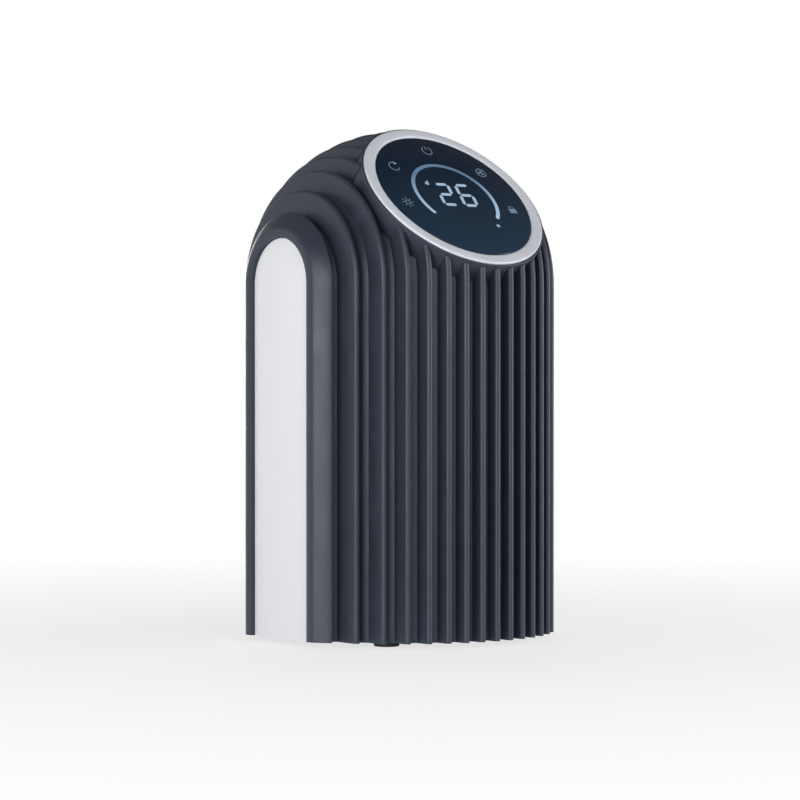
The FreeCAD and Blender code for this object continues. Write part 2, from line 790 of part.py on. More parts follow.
def rear_door():
    """Ribbed filter door: slotted groove floors, a finger recess and four magnet pads."""
    edge = door_half_width - door_gap
    flank = door_fins_each_side * fin_pitch + fin_thickness / 2
    edges = [ball_arc(floor_radius, -edge, -flank, BACK)] + rib_run(door_fins_each_side, BACK)
    edges.append(ball_arc(floor_radius, flank, edge, BACK))
    edges.append(ball_arc(inner_radius, -edge, edge, BACK))
    for x in (-edge, edge):
        edges.append(section_line((x, envelope(floor_radius, x)), (x, envelope(inner_radius, x)), BACK))
    door = section_face(edges).extrude(Vector(0, 0, door_bottom + 2 * door_gap - door_top))
    door.translate(Vector(0, 0, door_top - door_gap - dome_centre_height))
    pads = []
    for x, z in latch_places():
        half = latch_pad / 2
        pad = box(x - half, x + half, pad_face_y(), body_radius, z - half, z + half)
        pads.append(pad.common(rod(inner_radius + wall / 2, Vector(0, 0, 0), AXIS_Z, dome_centre_height)))
    door = join([door] + pads)
    grip_half = 2.5 * fin_pitch - fin_thickness / 2
    grip = box(-grip_half, grip_half, bay_back_y, body_radius + 1, door_top - grip_height, door_top)
    grip = grip.cut(rod(floor_radius, Vector(0, 0, 0), AXIS_Z, dome_centre_height))
    pockets = [rod(magnet_radius + screw_clearance, Vector(x, pad_face_y(), z), AXIS_Y, magnet_thickness)
               for x, z in latch_places()]
    return door.cut(door_slots() + pockets).cut(grip)


def filter_frame():
    """Rim of the filter cartridge."""
    outer = box(-filter_half_width, filter_half_width, filter_front_y, filter_back_y,
                filter_low, filter_high)
    inside = filter_half_width - filter_rail
    return outer.cut(box(-inside, inside, filter_front_y, filter_back_y,
                         filter_low + filter_rail, filter_high - filter_rail))


def cartridge_layer(y_low, y_high):
    """A flat layer that fills the cartridge's rim between two depths."""
    half = filter_half_width - filter_rail
    return box(-half, half, y_low, y_high, filter_low + filter_rail, filter_high - filter_rail)


def prefilter_mesh():
    """Fine mesh on the door side of the cartridge."""
    return cartridge_layer(filter_back_y - mesh_thickness, filter_back_y)


def carbon_sheet():
    """Carbon layer between mesh and paper."""
    high = filter_back_y - mesh_thickness
    return cartridge_layer(high - carbon_thickness, high)


def pleated_paper():
    """Pleated particle filter: one zigzag band through the cartridge."""
    half = filter_half_width - filter_rail
    count = int(2 * half / pleat_pitch)
    step = 2 * half / count / 2
    low = filter_front_y
    crest = filter_back_y - mesh_thickness - carbon_thickness - pleat_fold
    z = filter_low + filter_rail
    front = [Vector(-half + index * step, crest if index % 2 else low, z) for index in range(2 * count + 1)]
    back = [point + Vector(0, pleat_fold, 0) for point in reversed(front)]
    outline = Part.makePolygon(front + back + [front[0]])
    return Part.Face(outline).extrude(Vector(0, 0, filter_high - filter_low - 2 * filter_rail))


def pull_tab():
    """Folded strip on the cartridge's upper rail."""
    half = tab_width / 2
    high = filter_high - filter_rail / 4
    low = filter_high - filter_rail
    glued = box(-half, half, filter_back_y, filter_back_y + tab_thickness, low, high)
    return join([glued, box(-half, half, filter_back_y, filter_back_y + tab_reach, low, low + tab_thickness)])


def bay_seal():
    """Foam frame between the back plate and the cartridge."""
    half = filter_half_width - filter_clearance
    outer = box(-half, half, plate_back_y, filter_front_y, filter_low, filter_high)
    inside = half - seal_width
    return outer.cut(box(-inside, inside, plate_back_y, filter_front_y,
                         filter_low + seal_width, filter_high - seal_width))


# ---- fan --------------------------------------------------------------------------------
def fan_point(x, z):
    """A point of the fan's outline, from its centre, in the plane of the housing's floor."""
    return Vector(x, motor_seat_y, fan_centre_z + z)


def fan_arc(centre_x, centre_z, radius, first, last):
    """Quarter of the scroll, angles in degrees from +X towards +Z."""
    points = []
    for angle in (first, (first + last) / 2, last):
        turn = math.radians(angle)
        points.append(fan_point(centre_x + radius * math.cos(turn), centre_z + radius * math.sin(turn)))
    return Part.Arc(*points).toShape()


def scroll_face(offset, top):
    """Outline of the scroll and its outlet duct, grown by offset; the wall is three quarter arcs."""
    shift = scroll_growth / 2
    first = impeller_radius + scroll_gap + shift + offset
    second = first + scroll_growth
    third = second + scroll_growth
    start_z = math.sqrt(first ** 2 - offset ** 2) - shift
    start_angle = 90 + math.degrees(math.asin(offset / first))
    right = shift + third
    top_z = top - fan_centre_z
    edges = [fan_arc(-shift, -shift, first, start_angle, 180), fan_arc(shift, -shift, second, 180, 270),
             fan_arc(shift, shift, third, 270, 360),
             Part.makeLine(fan_point(right, shift), fan_point(right, top_z)),
             Part.makeLine(fan_point(right, top_z), fan_point(-shift - offset, top_z)),
             Part.makeLine(fan_point(-shift - offset, top_z), fan_point(-shift - offset, start_z))]
    return section_face(edges)


def ear_places():
    """(x, z) of the ears that hold the fan housing to the bay's plate."""
    shift = scroll_growth / 2
    reach = fan_wall + ear_radius - ear_sink
    first = impeller_radius + scroll_gap + shift
    right = shift + first + 2 * scroll_growth
    high = outlet_top - 2 * ear_radius
    below = fan_centre_z - shift - first - scroll_growth - reach
    return [(-shift - first - reach, fan_centre_z - shift), (shift, below), (right + reach, fan_centre_z),
            (right + reach, high), (-shift - reach, high)]


def fan_housing():
    """Scroll of the fan, open to the bay's plate and upwards, with its motor seat and ears."""
    depth = plate_front_y - motor_seat_y
    body = scroll_face(fan_wall, outlet_top).extrude(AXIS_Y * depth)
    hollow = scroll_face(0, outlet_top + fan_wall).extrude(AXIS_Y * depth)
    hollow.translate(AXIS_Y * fan_wall)
    ear_front_y = plate_front_y - ear_length
    ears = [rod(ear_radius, Vector(x, ear_front_y, z), AXIS_Y, ear_length) for x, z in ear_places()]
    body = join([body] + ears).cut(hollow)
    centre = fan_point(0, 0)
    cuts = [rod(motor_nose_radius + seat_gap, centre, AXIS_Y, fan_wall)]
    cuts += [screw_hole(place, AXIS_Y, fan_wall) for place in motor_screw_places(motor_seat_y)]
    cuts += [screw_hole(Vector(x, ear_front_y, z), AXIS_Y, ear_length) for x, z in ear_places()]
    return body.cut(cuts)


def fan_screws():
    """Screws through the ears into the bay's plate."""
    return Part.makeCompound([screw(Vector(x, plate_front_y - ear_length, z), AXIS_Y, ear_length + bay_wall)
                              for x, z in ear_places()])


def inlet_guard():
    """Finger guard over the fan's eye: rim, rings and spokes."""
    centre = Vector(0, plate_back_y, fan_centre_z)
    rim = pipe(eye_radius + 2 * guard_rib, eye_radius - guard_rib, centre, AXIS_Y, guard_rib)
    rings = []
    radius = guard_ring_pitch
    while radius < eye_radius - 2 * guard_rib:
        rings.append(pipe(radius + guard_rib, radius, centre, AXIS_Y, guard_rib))
        radius += guard_ring_pitch
    spokes = []
    for step in range(guard_spokes):
        spoke = box(guard_ring_pitch, eye_radius, plate_back_y, plate_back_y + guard_rib,
                    fan_centre_z - guard_rib / 2, fan_centre_z + guard_rib / 2)
        spoke.rotate(centre, AXIS_Y, step * 360.0 / guard_spokes)
        spokes.append(spoke)
    return join([rim] + rings + spokes)


def blade():
    """One forward-curved blade, drawn at the impeller's top."""
    root = impeller_radius - blade_reach
    tip = impeller_radius - blade_tip_gap
    places = [(0, root), (blade_bow, root + blade_bow_reach), (blade_lead, tip)]
    low = impeller_front_y + disc_thickness / 2

    def edge(shift):
        points = [Vector(x + shift, low, fan_centre_z + z) for x, z in places]
        return Part.Arc(*points).toShape(), points
    near, near_points = edge(0)
    far, far_points = edge(blade_thickness)
    edges = [near, far]
    edges += [Part.makeLine(near_points[place], far_points[place]) for place in (0, 2)]
    return section_face(edges).extrude(AXIS_Y * (impeller_width - disc_thickness))


def impeller():
    """Squirrel-cage wheel: disc, hub, blades and the ring at the air inlet."""
    centre = Vector(0, impeller_front_y, fan_centre_z)
    disc = rod(impeller_radius, centre, AXIS_Y, disc_thickness)
    hub = rod(hub_radius, centre, AXIS_Y, hub_length)
    behind = Vector(0, impeller_back_y - disc_thickness, fan_centre_z)
    ring = pipe(impeller_radius, impeller_radius - blade_reach, behind, AXIS_Y, disc_thickness)
    blades = []
    for step in range(blade_count):
        turned = blade()
        turned.rotate(centre, AXIS_Y, step * 360.0 / blade_count)
        blades.append(turned)
    wheel = disc.multiFuse([hub, ring] + blades)
    return wheel.cut(rod(shaft_radius + shaft_fit, centre, AXIS_Y, hub_length))


def motor_shaft():
    """Shaft from the motor through the hub and its nut."""
    start = Vector(0, motor_seat_y - motor_pad - motor_length / 2, fan_centre_z)
    end_y = impeller_front_y + hub_length + nut_thickness + shaft_end
    return rod(shaft_radius, start, AXIS_Y, end_y - start.y)


def shaft_nut():
    """Hexagon nut on the shaft's end."""
    centre = Vector(0, impeller_front_y + hub_length, fan_centre_z)
    corners = []
    for step in range(7):
        turn = math.radians(60 * step)
        corners.append(centre + Vector(math.cos(turn), 0, math.sin(turn)) * (nut_flats / math.sqrt(3)))
    nut = Part.Face(Part.makePolygon(corners)).extrude(AXIS_Y * nut_thickness)
    return nut.cut(rod(shaft_radius + shaft_fit, centre, AXIS_Y, nut_thickness))


def motor_screw_places(y):
    """Places of the three motor screws."""
    turns = [math.radians(90 + 120 * step) for step in range(3)]
    return [Vector(motor_screw_circle * math.cos(turn), y, fan_centre_z + motor_screw_circle * math.sin(turn))
            for turn in turns]


def motor_housing():
    """Motor can with its nose through the fan housing's floor."""
    start = Vector(0, motor_seat_y - motor_pad - motor_length, fan_centre_z)
    can = rod(motor_radius, start, AXIS_Y, motor_length)
    can = can.makeFillet(motor_pad, [edge for edge in can.Edges if edge.Closed
                                     and abs(edge.CenterOfMass.y - start.y) < 0.01])
    nose = rod(motor_nose_radius, start, AXIS_Y, motor_length + motor_pad + fan_wall)
    body = join([can, nose])
    cuts = [rod(shaft_radius + shaft_fit, start + AXIS_Y * (motor_length / 2), AXIS_Y, motor_length)]
    places = motor_screw_places(motor_seat_y - motor_pad)
    cuts += [screw_hole(place, AXIS_Y * -1, motor_length / 3) for place in places]
    return body.cut(cuts)


def motor_gasket():
    """Rubber ring between the motor and the fan housing."""
    start = Vector(0, motor_seat_y - motor_pad, fan_centre_z)
    ring = pipe(motor_radius, motor_nose_radius + seat_gap, start, AXIS_Y, motor_pad)
    return ring.cut([screw_hole(place, AXIS_Y, motor_pad) for place in motor_screw_places(start.y)])


def motor_screws():
    """Screws from inside the fan into the motor."""
    length = fan_wall + motor_pad + motor_length / 4
    return Part.makeCompound([screw(place, AXIS_Y * -1, length) for place in motor_screw_places(fan_floor_y)])


def outlet_vanes():
    """Guide vanes under the dome's outlet slots, joined by three curved rails."""
    outer = inner_radius - seat_gap
    inner = outer - vane_depth
    half = (door_fins_each_side + 1) * fin_pitch

    def ring_face(x_low, x_high):
        edges = [ball_arc(outer, x_low, x_high, BACK), ball_arc(inner, x_low, x_high, BACK)]
        for x in (x_low, x_high):
            edges.append(section_line((x, envelope(inner, x)), (x, envelope(outer, x)), BACK))
        return section_face(edges)
    pieces = []
    step = (outlet_last_angle - outlet_first_angle) / (vane_count - 1)
    for index in range(vane_count):
        vane = ring_face(-half, half).extrude(AXIS_Z * vane_thickness)
        vane.rotate(dome_centre, AXIS_X, outlet_first_angle + index * step - vane_lead)
        pieces.append(vane)
    for x in (-half, -vane_thickness / 2, half - vane_thickness):
        rail = ring_face(x, x + vane_thickness)
        rail.rotate(dome_centre, AXIS_X, outlet_first_angle - vane_lead)
        pieces.append(rail.revolve(dome_centre, AXIS_X, outlet_last_angle - outlet_first_angle + vane_lead))
    return join(pieces)


# ---- electrics --------------------------------------------------------------------------
def board_back_y():
    """Rear edge of the power board."""
    return -math.sqrt(inner_radius ** 2 - board_half_width ** 2) + board_setback + board_length


def board_corners():
    """(x, y) of the power board's four screws."""
    inset = 2 * standoff_radius
    return [(x, y) for x in (-board_half_width + inset, board_half_width - inset)
            for y in (board_back_y() - board_length + inset, board_back_y() - inset)]


def power_board():
    """Circuit board on the base plate's posts."""
    z = base_top + standoff_height
    board = box(-board_half_width, board_half_width, board_back_y() - board_length, board_back_y(),
                z, z + board_thickness)
    return board.cut([screw_hole(Vector(x, y, z), AXIS_Z, board_thickness) for x, y in board_corners()])


def board_parts():
    """Transformer, capacitors and connectors that stand on the power board."""
    z = base_top + standoff_height + board_thickness
    front = board_back_y() - board_length
    middle = front + board_length / 2
    half = transformer_width / 2
    parts = [box(-half, half, middle - transformer_depth / 2, middle + transformer_depth / 2,
                 z, z + transformer_height)]
    for end in (-1, 1):
        x = end * (half + 2 * capacitor_radius)
        parts.append(rod(capacitor_radius, Vector(x, middle, z), AXIS_Z, capacitor_height))
        left = end * connector_offset - connector_width / 2
        low = front + connector_inset
        parts.append(box(left, left + connector_width, low, low + connector_depth, z, z + connector_height))
    return Part.makeCompound(parts)


def board_screws():
    """Screws that hold the power board."""
    z = base_top + standoff_height + board_thickness
    return Part.makeCompound([screw(Vector(x, y, z), AXIS_Z * -1, standoff_height)
                              for x, y in board_corners()])


def inlet_face_y():
    """Outer face of the mains inlet's flange, behind the rear shell."""
    return math.sqrt(inner_radius ** 2 - (inlet_half_width + inlet_flange) ** 2) - seat_gap


def mains_inlet():
    """Two-pole inlet: body on the base plate, flange behind the shell, nose through it."""
    face = inlet_face_y()
    wide = inlet_half_width + inlet_flange
    high = inlet_height + inlet_half_height + inlet_flange / 2
    flange = box(-wide, wide, face - inlet_flange, face, base_top, high)
    body = box(-inlet_half_width, inlet_half_width, face - inlet_body_depth, face, base_top, high)
    nose = box(-inlet_half_width, inlet_half_width, face - inlet_nose_sink, face + inlet_nose,
               inlet_height - inlet_half_height, inlet_height + inlet_half_height)
    mouth = face + inlet_nose - cavity_depth
    cavity = [rod(cavity_radius, Vector(x, mouth, inlet_height), AXIS_Y, cavity_depth)
              for x in (-inlet_pin_offset, inlet_pin_offset)]
    cavity.append(box(-inlet_pin_offset, inlet_pin_offset, mouth, mouth + cavity_depth,
                      inlet_height - cavity_radius, inlet_height + cavity_radius))
    return join([flange, body, nose]).cut(join(cavity))


def inlet_pins():
    """Two pins of the mains inlet."""
    mouth = inlet_face_y() + inlet_nose - cavity_depth
    return Part.makeCompound([rod(inlet_pin_radius, Vector(x, mouth, inlet_height), AXIS_Y, inlet_pin_length)
                              for x in (-inlet_pin_offset, inlet_pin_offset)])


def dust_sensor():
    """Dust sensor on the bay's side wall, behind its vents."""
    x = bay_half_width
    y = plate_back_y + seat_gap
    body = box(x, x + sensor_width, y, y + sensor_depth, sensor_height, sensor_height + sensor_tall)
    mouth = Vector(x + sensor_width / 2, y + sensor_depth, sensor_height + sensor_tall / 2)
    port = rod(slot_width / 2, mouth, AXIS_Y * -1, slot_width)
    return body.cut(port)


NODES = {
    "front_shell": front_shell, "rear_shell": rear_shell, "seam_strips": seam_strips,
    "seam_screws": seam_screws,
    "side_panel_left": lambda: side_panel(-1), "side_panel_right": lambda: side_panel(1),
    "control_housing": control_housing, "display_ring": display_ring, "display_glass": display_glass,
    "light_mask": light_mask, "display_board": display_board, "touch_springs": touch_springs,
    "display_screws": display_screws, "base_plate": base_plate, "rubber_feet": rubber_feet,
    "base_screws": base_screws, "filter_bay": filter_bay, "bay_screws": bay_screws,
    "latch_keepers": latch_keepers, "rear_door": rear_door, "door_magnets": door_magnets,
    "filter_frame": filter_frame, "prefilter_mesh": prefilter_mesh, "carbon_sheet": carbon_sheet,
    "pleated_paper": pleated_paper, "pull_tab": pull_tab, "bay_seal": bay_seal,
    "fan_housing": fan_housing, "fan_screws": fan_screws, "inlet_guard": inlet_guard, "impeller": impeller,
    "motor_shaft": motor_shaft, "shaft_nut": shaft_nut, "motor_housing": motor_housing,
    "motor_gasket": motor_gasket, "motor_screws": motor_screws, "outlet_vanes": outlet_vanes,
    "power_board": power_board, "board_parts": board_parts, "board_screws": board_screws,
    "mains_inlet": mains_inlet, "inlet_pins": inlet_pins, "dust_sensor": dust_sensor,
}

front_body, rear_body = parted_body()
os.makedirs("parts", exist_ok=True)
for name, make in NODES.items():
    shape = make()
    print(name, len(shape.Solids), shape.isValid(), round(shape.Volume / 1000, 2))
    export(name, shape)
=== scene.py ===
import math

import bmesh
import bpy
from bpy.props import FloatProperty, FloatVectorProperty, IntProperty, PointerProperty
from mathutils import Matrix, Vector
from mathutils.geometry import tessellate_polygon


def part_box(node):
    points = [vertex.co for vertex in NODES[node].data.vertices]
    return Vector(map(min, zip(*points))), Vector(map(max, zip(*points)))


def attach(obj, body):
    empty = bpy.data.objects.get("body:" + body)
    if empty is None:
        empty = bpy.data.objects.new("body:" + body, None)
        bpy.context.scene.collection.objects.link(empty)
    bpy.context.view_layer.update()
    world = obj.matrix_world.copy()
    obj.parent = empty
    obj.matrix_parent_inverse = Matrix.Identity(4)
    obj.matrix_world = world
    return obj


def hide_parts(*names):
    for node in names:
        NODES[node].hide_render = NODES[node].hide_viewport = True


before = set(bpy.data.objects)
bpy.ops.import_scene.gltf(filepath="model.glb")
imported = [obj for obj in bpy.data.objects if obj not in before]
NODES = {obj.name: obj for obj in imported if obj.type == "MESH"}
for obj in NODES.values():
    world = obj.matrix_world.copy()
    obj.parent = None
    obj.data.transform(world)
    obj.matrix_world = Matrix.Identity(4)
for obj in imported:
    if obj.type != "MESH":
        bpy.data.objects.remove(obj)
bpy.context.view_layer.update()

bl_info = {
    "name": "Domed air purifier",
    "version": (1, 0, 0),
    "blender": (4, 5, 0),
    "location": "3D View > Sidebar > Purifier",
    "description": "Builds the visible pieces and finishes of a domed table-top air purifier",
    "category": "Object",
}

MM = 0.001
HAIR = 1e-7                      # vertices nearer than this fall together
FRONT, BACK = -1, 1

# ---- places that come from the frame -----------------------------------------------------
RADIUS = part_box("rear_shell")[1].y                       # envelope of the fin tips
DOME = Vector((0, 0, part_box("seam_strips")[1].z))        # centre of the dome
FOOT_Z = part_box("front_shell")[0].z                      # lower edge of the shells
DOOR_LOW, DOOR_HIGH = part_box("rear_door")
PANEL_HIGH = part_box("side_panel_right")[1]
FAN_Z = (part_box("impeller")[0].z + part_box("impeller")[1].z) / 2
CASING, DOOR_BODY, CARTRIDGE_BODY = "casing", "filter_door", "filter_cartridge"

# ---- fits of the solids, which stay as they are ------------------------------------------
SEAT_GAP = 0.3 * MM              # room around a piece that is let into the shells
SLOT_HALF = 2.5 * MM             # half the width of an air slot
SLOT_REACH = 2 * MM              # how far a slot's cutter stands out of the wall on both sides


# ---- settings ----------------------------------------------------------------------------
def length(name, description, millimetres):
    """A size in metres whose default is given in millimetres."""
    return FloatProperty(name=name, description=description, default=millimetres * MM, min=0, precision=5,
                         unit="LENGTH")


def share(name, description, default):
    """A plain factor from 0 to 1."""
    return FloatProperty(name=name, description=description, default=default, min=0, max=1, subtype="FACTOR")


def tint(name, description, red, green, blue):
    """A colour whose default is given as display values from 0 to 255."""
    linear = [(value / 255 / 12.92) if value < 11 else ((value / 255 + 0.055) / 1.055) ** 2.4
              for value in (red, green, blue)]
    return FloatVectorProperty(name=name, description=description, default=linear, min=0, max=1, size=3,
                               subtype="COLOR")


def power(name, description, watts):
    """The power of a lamp."""
    return FloatProperty(name=name, description=description, default=watts, min=0, unit="POWER")


class PurifierBody(bpy.types.PropertyGroup):
    """Ribbed shells."""
    plastic: tint("Body plastic", "Colour of the ribbed shells and the door", 45, 50, 61)
    dust: tint("Dust", "Colour of the dust on upward faces", 128, 126, 122)
    groove_depth: length("Groove depth", "Fin tip to groove floor", 10)
    fin_pitch: length("Fin pitch", "Distance between neighbouring fins", 12.5)
    fin_thickness: length("Fin thickness", "Thickness of a fin", 4.4)
    tip_round: length("Fin tip rounding", "Radius of a fin's two edges", 2.0)
    rim_round: length("Rim rounding", "Radius of the rim's edge towards the outermost groove", 1.6)
    rim_face_round: length("Rim face rounding", "Radius between the rim's crown and its flat", 7)
    root_round: length("Fin root rounding", "Radius where a fin meets the groove's floor", 0.7)
    wall: length("Wall", "Shell wall behind the grooves", 2.5)
    rim_depth: length("Rim depth", "Thickness of the outermost fin beside the panel", 9.4)
    rim_land: length("Rim land", "Flat of the rim beside the panel", 6.7)
    rim_bulge: length("Rim bulge", "Crown of the rim's edge", 1.3)
    recess_wall: length("Recess wall", "Thickness between the panel's recess and the outermost groove", 6)
    parting: length("Parting plane", "How far the shells part in front of the middle", 12)
    shut_line: length("Shut line", "Gap between the two shells", 0.16)
    dome_steps: IntProperty(name="Dome steps", description="Steps of the sweep over the dome", default=80,
                            min=12)


class PurifierPanels(bpy.types.PropertyGroup):
    """White side panels."""
    lacquer: tint("Lacquer", "Colour of the side panels", 233, 234, 238)
    edge_round: length("Edge rounding", "Radius of the panel's outer edge", 0.8)
    crown: length("Crown", "Rise of the panel's middle over its edges", 1.5)
    gap: length("Panel gap", "Shut line around the panel", 0.3)
    recess: length("Panel recess", "Panel's face below the rim", 1.0)


class PurifierDisplay(bpy.types.PropertyGroup):
    """Control head: collar, ring, glass and the marks on it."""
    tilt: FloatProperty(name="Tilt", description="Angle between the display's normal and vertical",
                        default=math.radians(44.5), unit="ROTATION")
    collar_width: length("Collar width", "Dark collar outside the silver ring", 1.4)
    silver: tint("Ring", "Colour of the silver ring", 224, 228, 236)
    glass_top: tint("Glass, upper", "Colour of the cover glass at its upper edge", 0, 24, 46)
    glass_low: tint("Glass, lower", "Colour of the cover glass at its lower edge", 34, 56, 78)
    lit: tint("Lit marks", "Colour of the lit figures", 164, 188, 214)
    dim: tint("Dim marks", "Colour of the weakly lit marks", 84, 112, 140)
    digit_height: length("Digit height", "Height of the figures", 21)
    digit_width: length("Digit width", "Width of a figure", 11)
    gauge_radius: length("Gauge radius", "Radius of the gauge arc", 33)
    mark_circle: length("Touch mark circle", "Radius of the circle of touch marks", 47)
    mark_size: length("Touch mark size", "Diameter of a touch mark", 8)


class PurifierInside(bpy.types.PropertyGroup):
    """Pieces behind the door and under the base."""
    chassis: tint("Chassis plastic", "Colour of the inner mouldings", 58, 61, 66)
    base: tint("Base plastic", "Colour of the base plate and the outlet vanes", 40, 42, 47)
    rubber: tint("Rubber", "Colour of the feet", 30, 31, 33)
    paper: tint("Filter paper", "Colour of the pleated paper", 236, 236, 230)
    frame_white: tint("Cartridge frame", "Colour of the cartridge's frame", 232, 232, 228)
    net: tint("Net", "Colour of the pre-filter net", 96, 100, 106)
    carbon: tint("Carbon", "Colour of the carbon layer", 38, 38, 40)
    tape: tint("Pull tape", "Colour of the cartridge's pull tape", 62, 108, 164)
    board: tint("Circuit board", "Colour of the solder mask", 24, 92, 58)
    net_pitch: length("Net pitch", "Distance between the net's threads", 2.8)


class PurifierStage(bpy.types.PropertyGroup):
    """Floor, camera and lights."""
    floor: tint("Floor", "Colour of the floor", 244, 244, 244)
    floor_white: share("Floor glow", "How much of the floor near the object shows as plain white", 0.72)
    focal_length: FloatProperty(name="Focal length", description="Camera lens in millimetres", default=138.6,
                                unit="CAMERA")
    key_power: power("Key light", "Power of the soft light from the left", 28)
    side_power: power("Side light", "Power of the soft light beside the camera", 15)
    fill_power: power("Fill light", "Power of the soft light from the front", 14)
    right_power: power("Right light", "Power of the soft light at the right", 26)
    back_power: power("Back light", "Power of the soft light behind the object", 26)
    sky: share("Sky", "Strength of the even light from all round", 0.2)


class PurifierSettings(bpy.types.PropertyGroup):
    """All settings of the purifier."""
    body: PointerProperty(type=PurifierBody)
    panels: PointerProperty(type=PurifierPanels)
    display: PointerProperty(type=PurifierDisplay)
    inside: PointerProperty(type=PurifierInside)
    stage: PointerProperty(type=PurifierStage)


def chosen():
    """The settings of the open scene."""
    return bpy.context.scene.purifier


# ---- making meshes -----------------------------------------------------------------------
def smooth(piece, degrees):
    """Smooth shading with sharp edges kept."""
    piece.data.shade_smooth()
    piece.data.set_sharp_from_angle(angle=math.radians(degrees))


def raw_object(name, shape):
    """An object from a bmesh, which is freed."""
    mesh = bpy.data.meshes.new(name)
    shape.to_mesh(mesh)
    shape.free()
    made = bpy.data.objects.new(name, mesh)
    bpy.context.scene.collection.objects.link(made)
    return made


def solid(name, shape):
    """An object from a closed bmesh, with its faces turned outward."""
    bmesh.ops.recalc_face_normals(shape, faces=shape.faces)
    return raw_object(name, shape)


def dress(piece, material, body, slot, *nodes, degrees=30):
    """Finish a piece: shading, material, body and the frame's nodes that it stands for. The slot is not used.
    """
    piece.data.materials.clear()
    piece.data.materials.append(material)
    smooth(piece, degrees)
    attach(piece, body)
    if nodes:
        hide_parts(*nodes)
    return piece


def combine(piece, cutter, operation):
    """Apply one boolean and delete the cutter."""
    step = piece.modifiers.new("combine", "BOOLEAN")
    step.operation = operation
    step.solver = "EXACT"
    step.object = cutter
    evaluated = piece.evaluated_get(bpy.context.evaluated_depsgraph_get())
    mesh = bpy.data.meshes.new_from_object(evaluated)
    if not mesh.polygons:
        raise RuntimeError(f"{piece.name}: nothing is left after {operation} with {cutter.name}")
    piece.modifiers.clear()
    piece.data = mesh
    bpy.data.objects.remove(cutter)
    return piece


def duplicate(piece, name):
    """A second object with its own copy of the mesh."""
    twin = bpy.data.objects.new(name, piece.data.copy())
    bpy.context.scene.collection.objects.link(twin)
    return twin


def ring_faces(shape, rows, closed_path=False):
    """Faces between successive closed rings of vertices."""
    last = len(rows) if closed_path else len(rows) - 1
    for index in range(last):
        here, there = rows[index], rows[(index + 1) % len(rows)]
        for step in range(len(here)):
            after = (step + 1) % len(here)
            shape.faces.new((here[step], here[after], there[after], there[step]))


def fill_flat(shape, *loops):
    """Triangles inside a flat loop, with any further loops as holes."""
    verts = [vert for loop in loops for vert in loop]
    for triangle in tessellate_polygon([[vert.co for vert in loop] for loop in loops]):
        corners = [verts[index] for index in triangle]
        if len({corner.co.to_tuple(7) for corner in corners}) == 3:
            shape.faces.new(corners)


def bar(shape, rows):
    """Closed rings joined to a bar, with one face over each end."""
    ring_faces(shape, rows)
    shape.faces.new(rows[0][::-1])
    shape.faces.new(rows[-1])


def plate(shape, rows):
    """Closed rings of any outline joined, with triangles over each end."""
    ring_faces(shape, rows)
    fill_flat(shape, rows[0])
    fill_flat(shape, rows[-1])


def block(shape, low, high):
    """A closed block between two corners."""
    made = bmesh.ops.create_cube(shape, size=1)["verts"]
    for vert in made:
        vert.co = Vector([low[axis] if vert.co[axis] < 0 else high[axis] for axis in range(3)])


def stepped(start, end, steps):
    """Places from start to end at even steps."""
    return [start + (end - start) * step / steps for step in range(steps + 1)]


def travel(points, index):
    """Direction of a run of points at one of them."""
    return points[min(index + 1, len(points) - 1)] - points[max(index - 1, 0)]


def head_matrix():
    """Display's own axes: across, up its face, and out along its normal from the dome's centre."""
    tilt = chosen().display.tilt
    return Matrix.Translation(DOME) @ Matrix.Rotation(tilt, 4, "X")


def head_reach(node):
    """Lowest and highest place of a node along the display's normal, and its greatest radius."""
    inverse = head_matrix().inverted()
    spots = [inverse @ vert.co for vert in NODES[node].data.vertices]
    heights = [spot.z for spot in spots]
    return min(heights), max(heights), max(math.hypot(spot.x, spot.y) for spot in spots)


def rounded(corners):
    """Points along a run of corners, each (x, y, radius, steps), with its inner corners rounded."""
    most = 0.48                      # share of a side that one rounding may take
    points = []
    for index, (x, y, radius, steps) in enumerate(corners):
        here = Vector((x, y))
        if not radius or index in (0, len(corners) - 1):
            points.append(here)
            continue
        before = Vector(corners[index - 1][:2]) - here
        after = Vector(corners[index + 1][:2]) - here
        half = before.angle(after) / 2
        reach = min(radius / math.tan(half), most * before.length, most * after.length)
        before.normalize()
        after.normalize()
        centre = here + (before + after).normalized() * (reach / math.cos(half))
        start = here + before * reach - centre
        turn = start.angle_signed(here + after * reach - centre)
        for step in range(steps + 1):
            points.append(centre + Matrix.Rotation(-turn * step / steps, 2) @ start)
    return points


def lathe(profile, segments):
    """A bmesh turned about the Z axis from a closed profile of (radius, height)."""
    shape = bmesh.new()
    rows = []
    for step in range(segments):
        turn = 2 * math.pi * step / segments
        rows.append([shape.verts.new((point[0] * math.cos(turn), point[0] * math.sin(turn), point[1]))
                     for point in profile])
    ring_faces(shape, rows, closed_path=True)
    bmesh.ops.remove_doubles(shape, verts=shape.verts, dist=HAIR)
    bmesh.ops.recalc_face_normals(shape, faces=shape.faces)
    return shape


# ---- ribbed shells -----------------------------------------------------------------------
def ball(radius, x):
    """Distance from the X axis to a ball of this radius, at x."""
    return math.sqrt(max(radius * radius - x * x, 0))


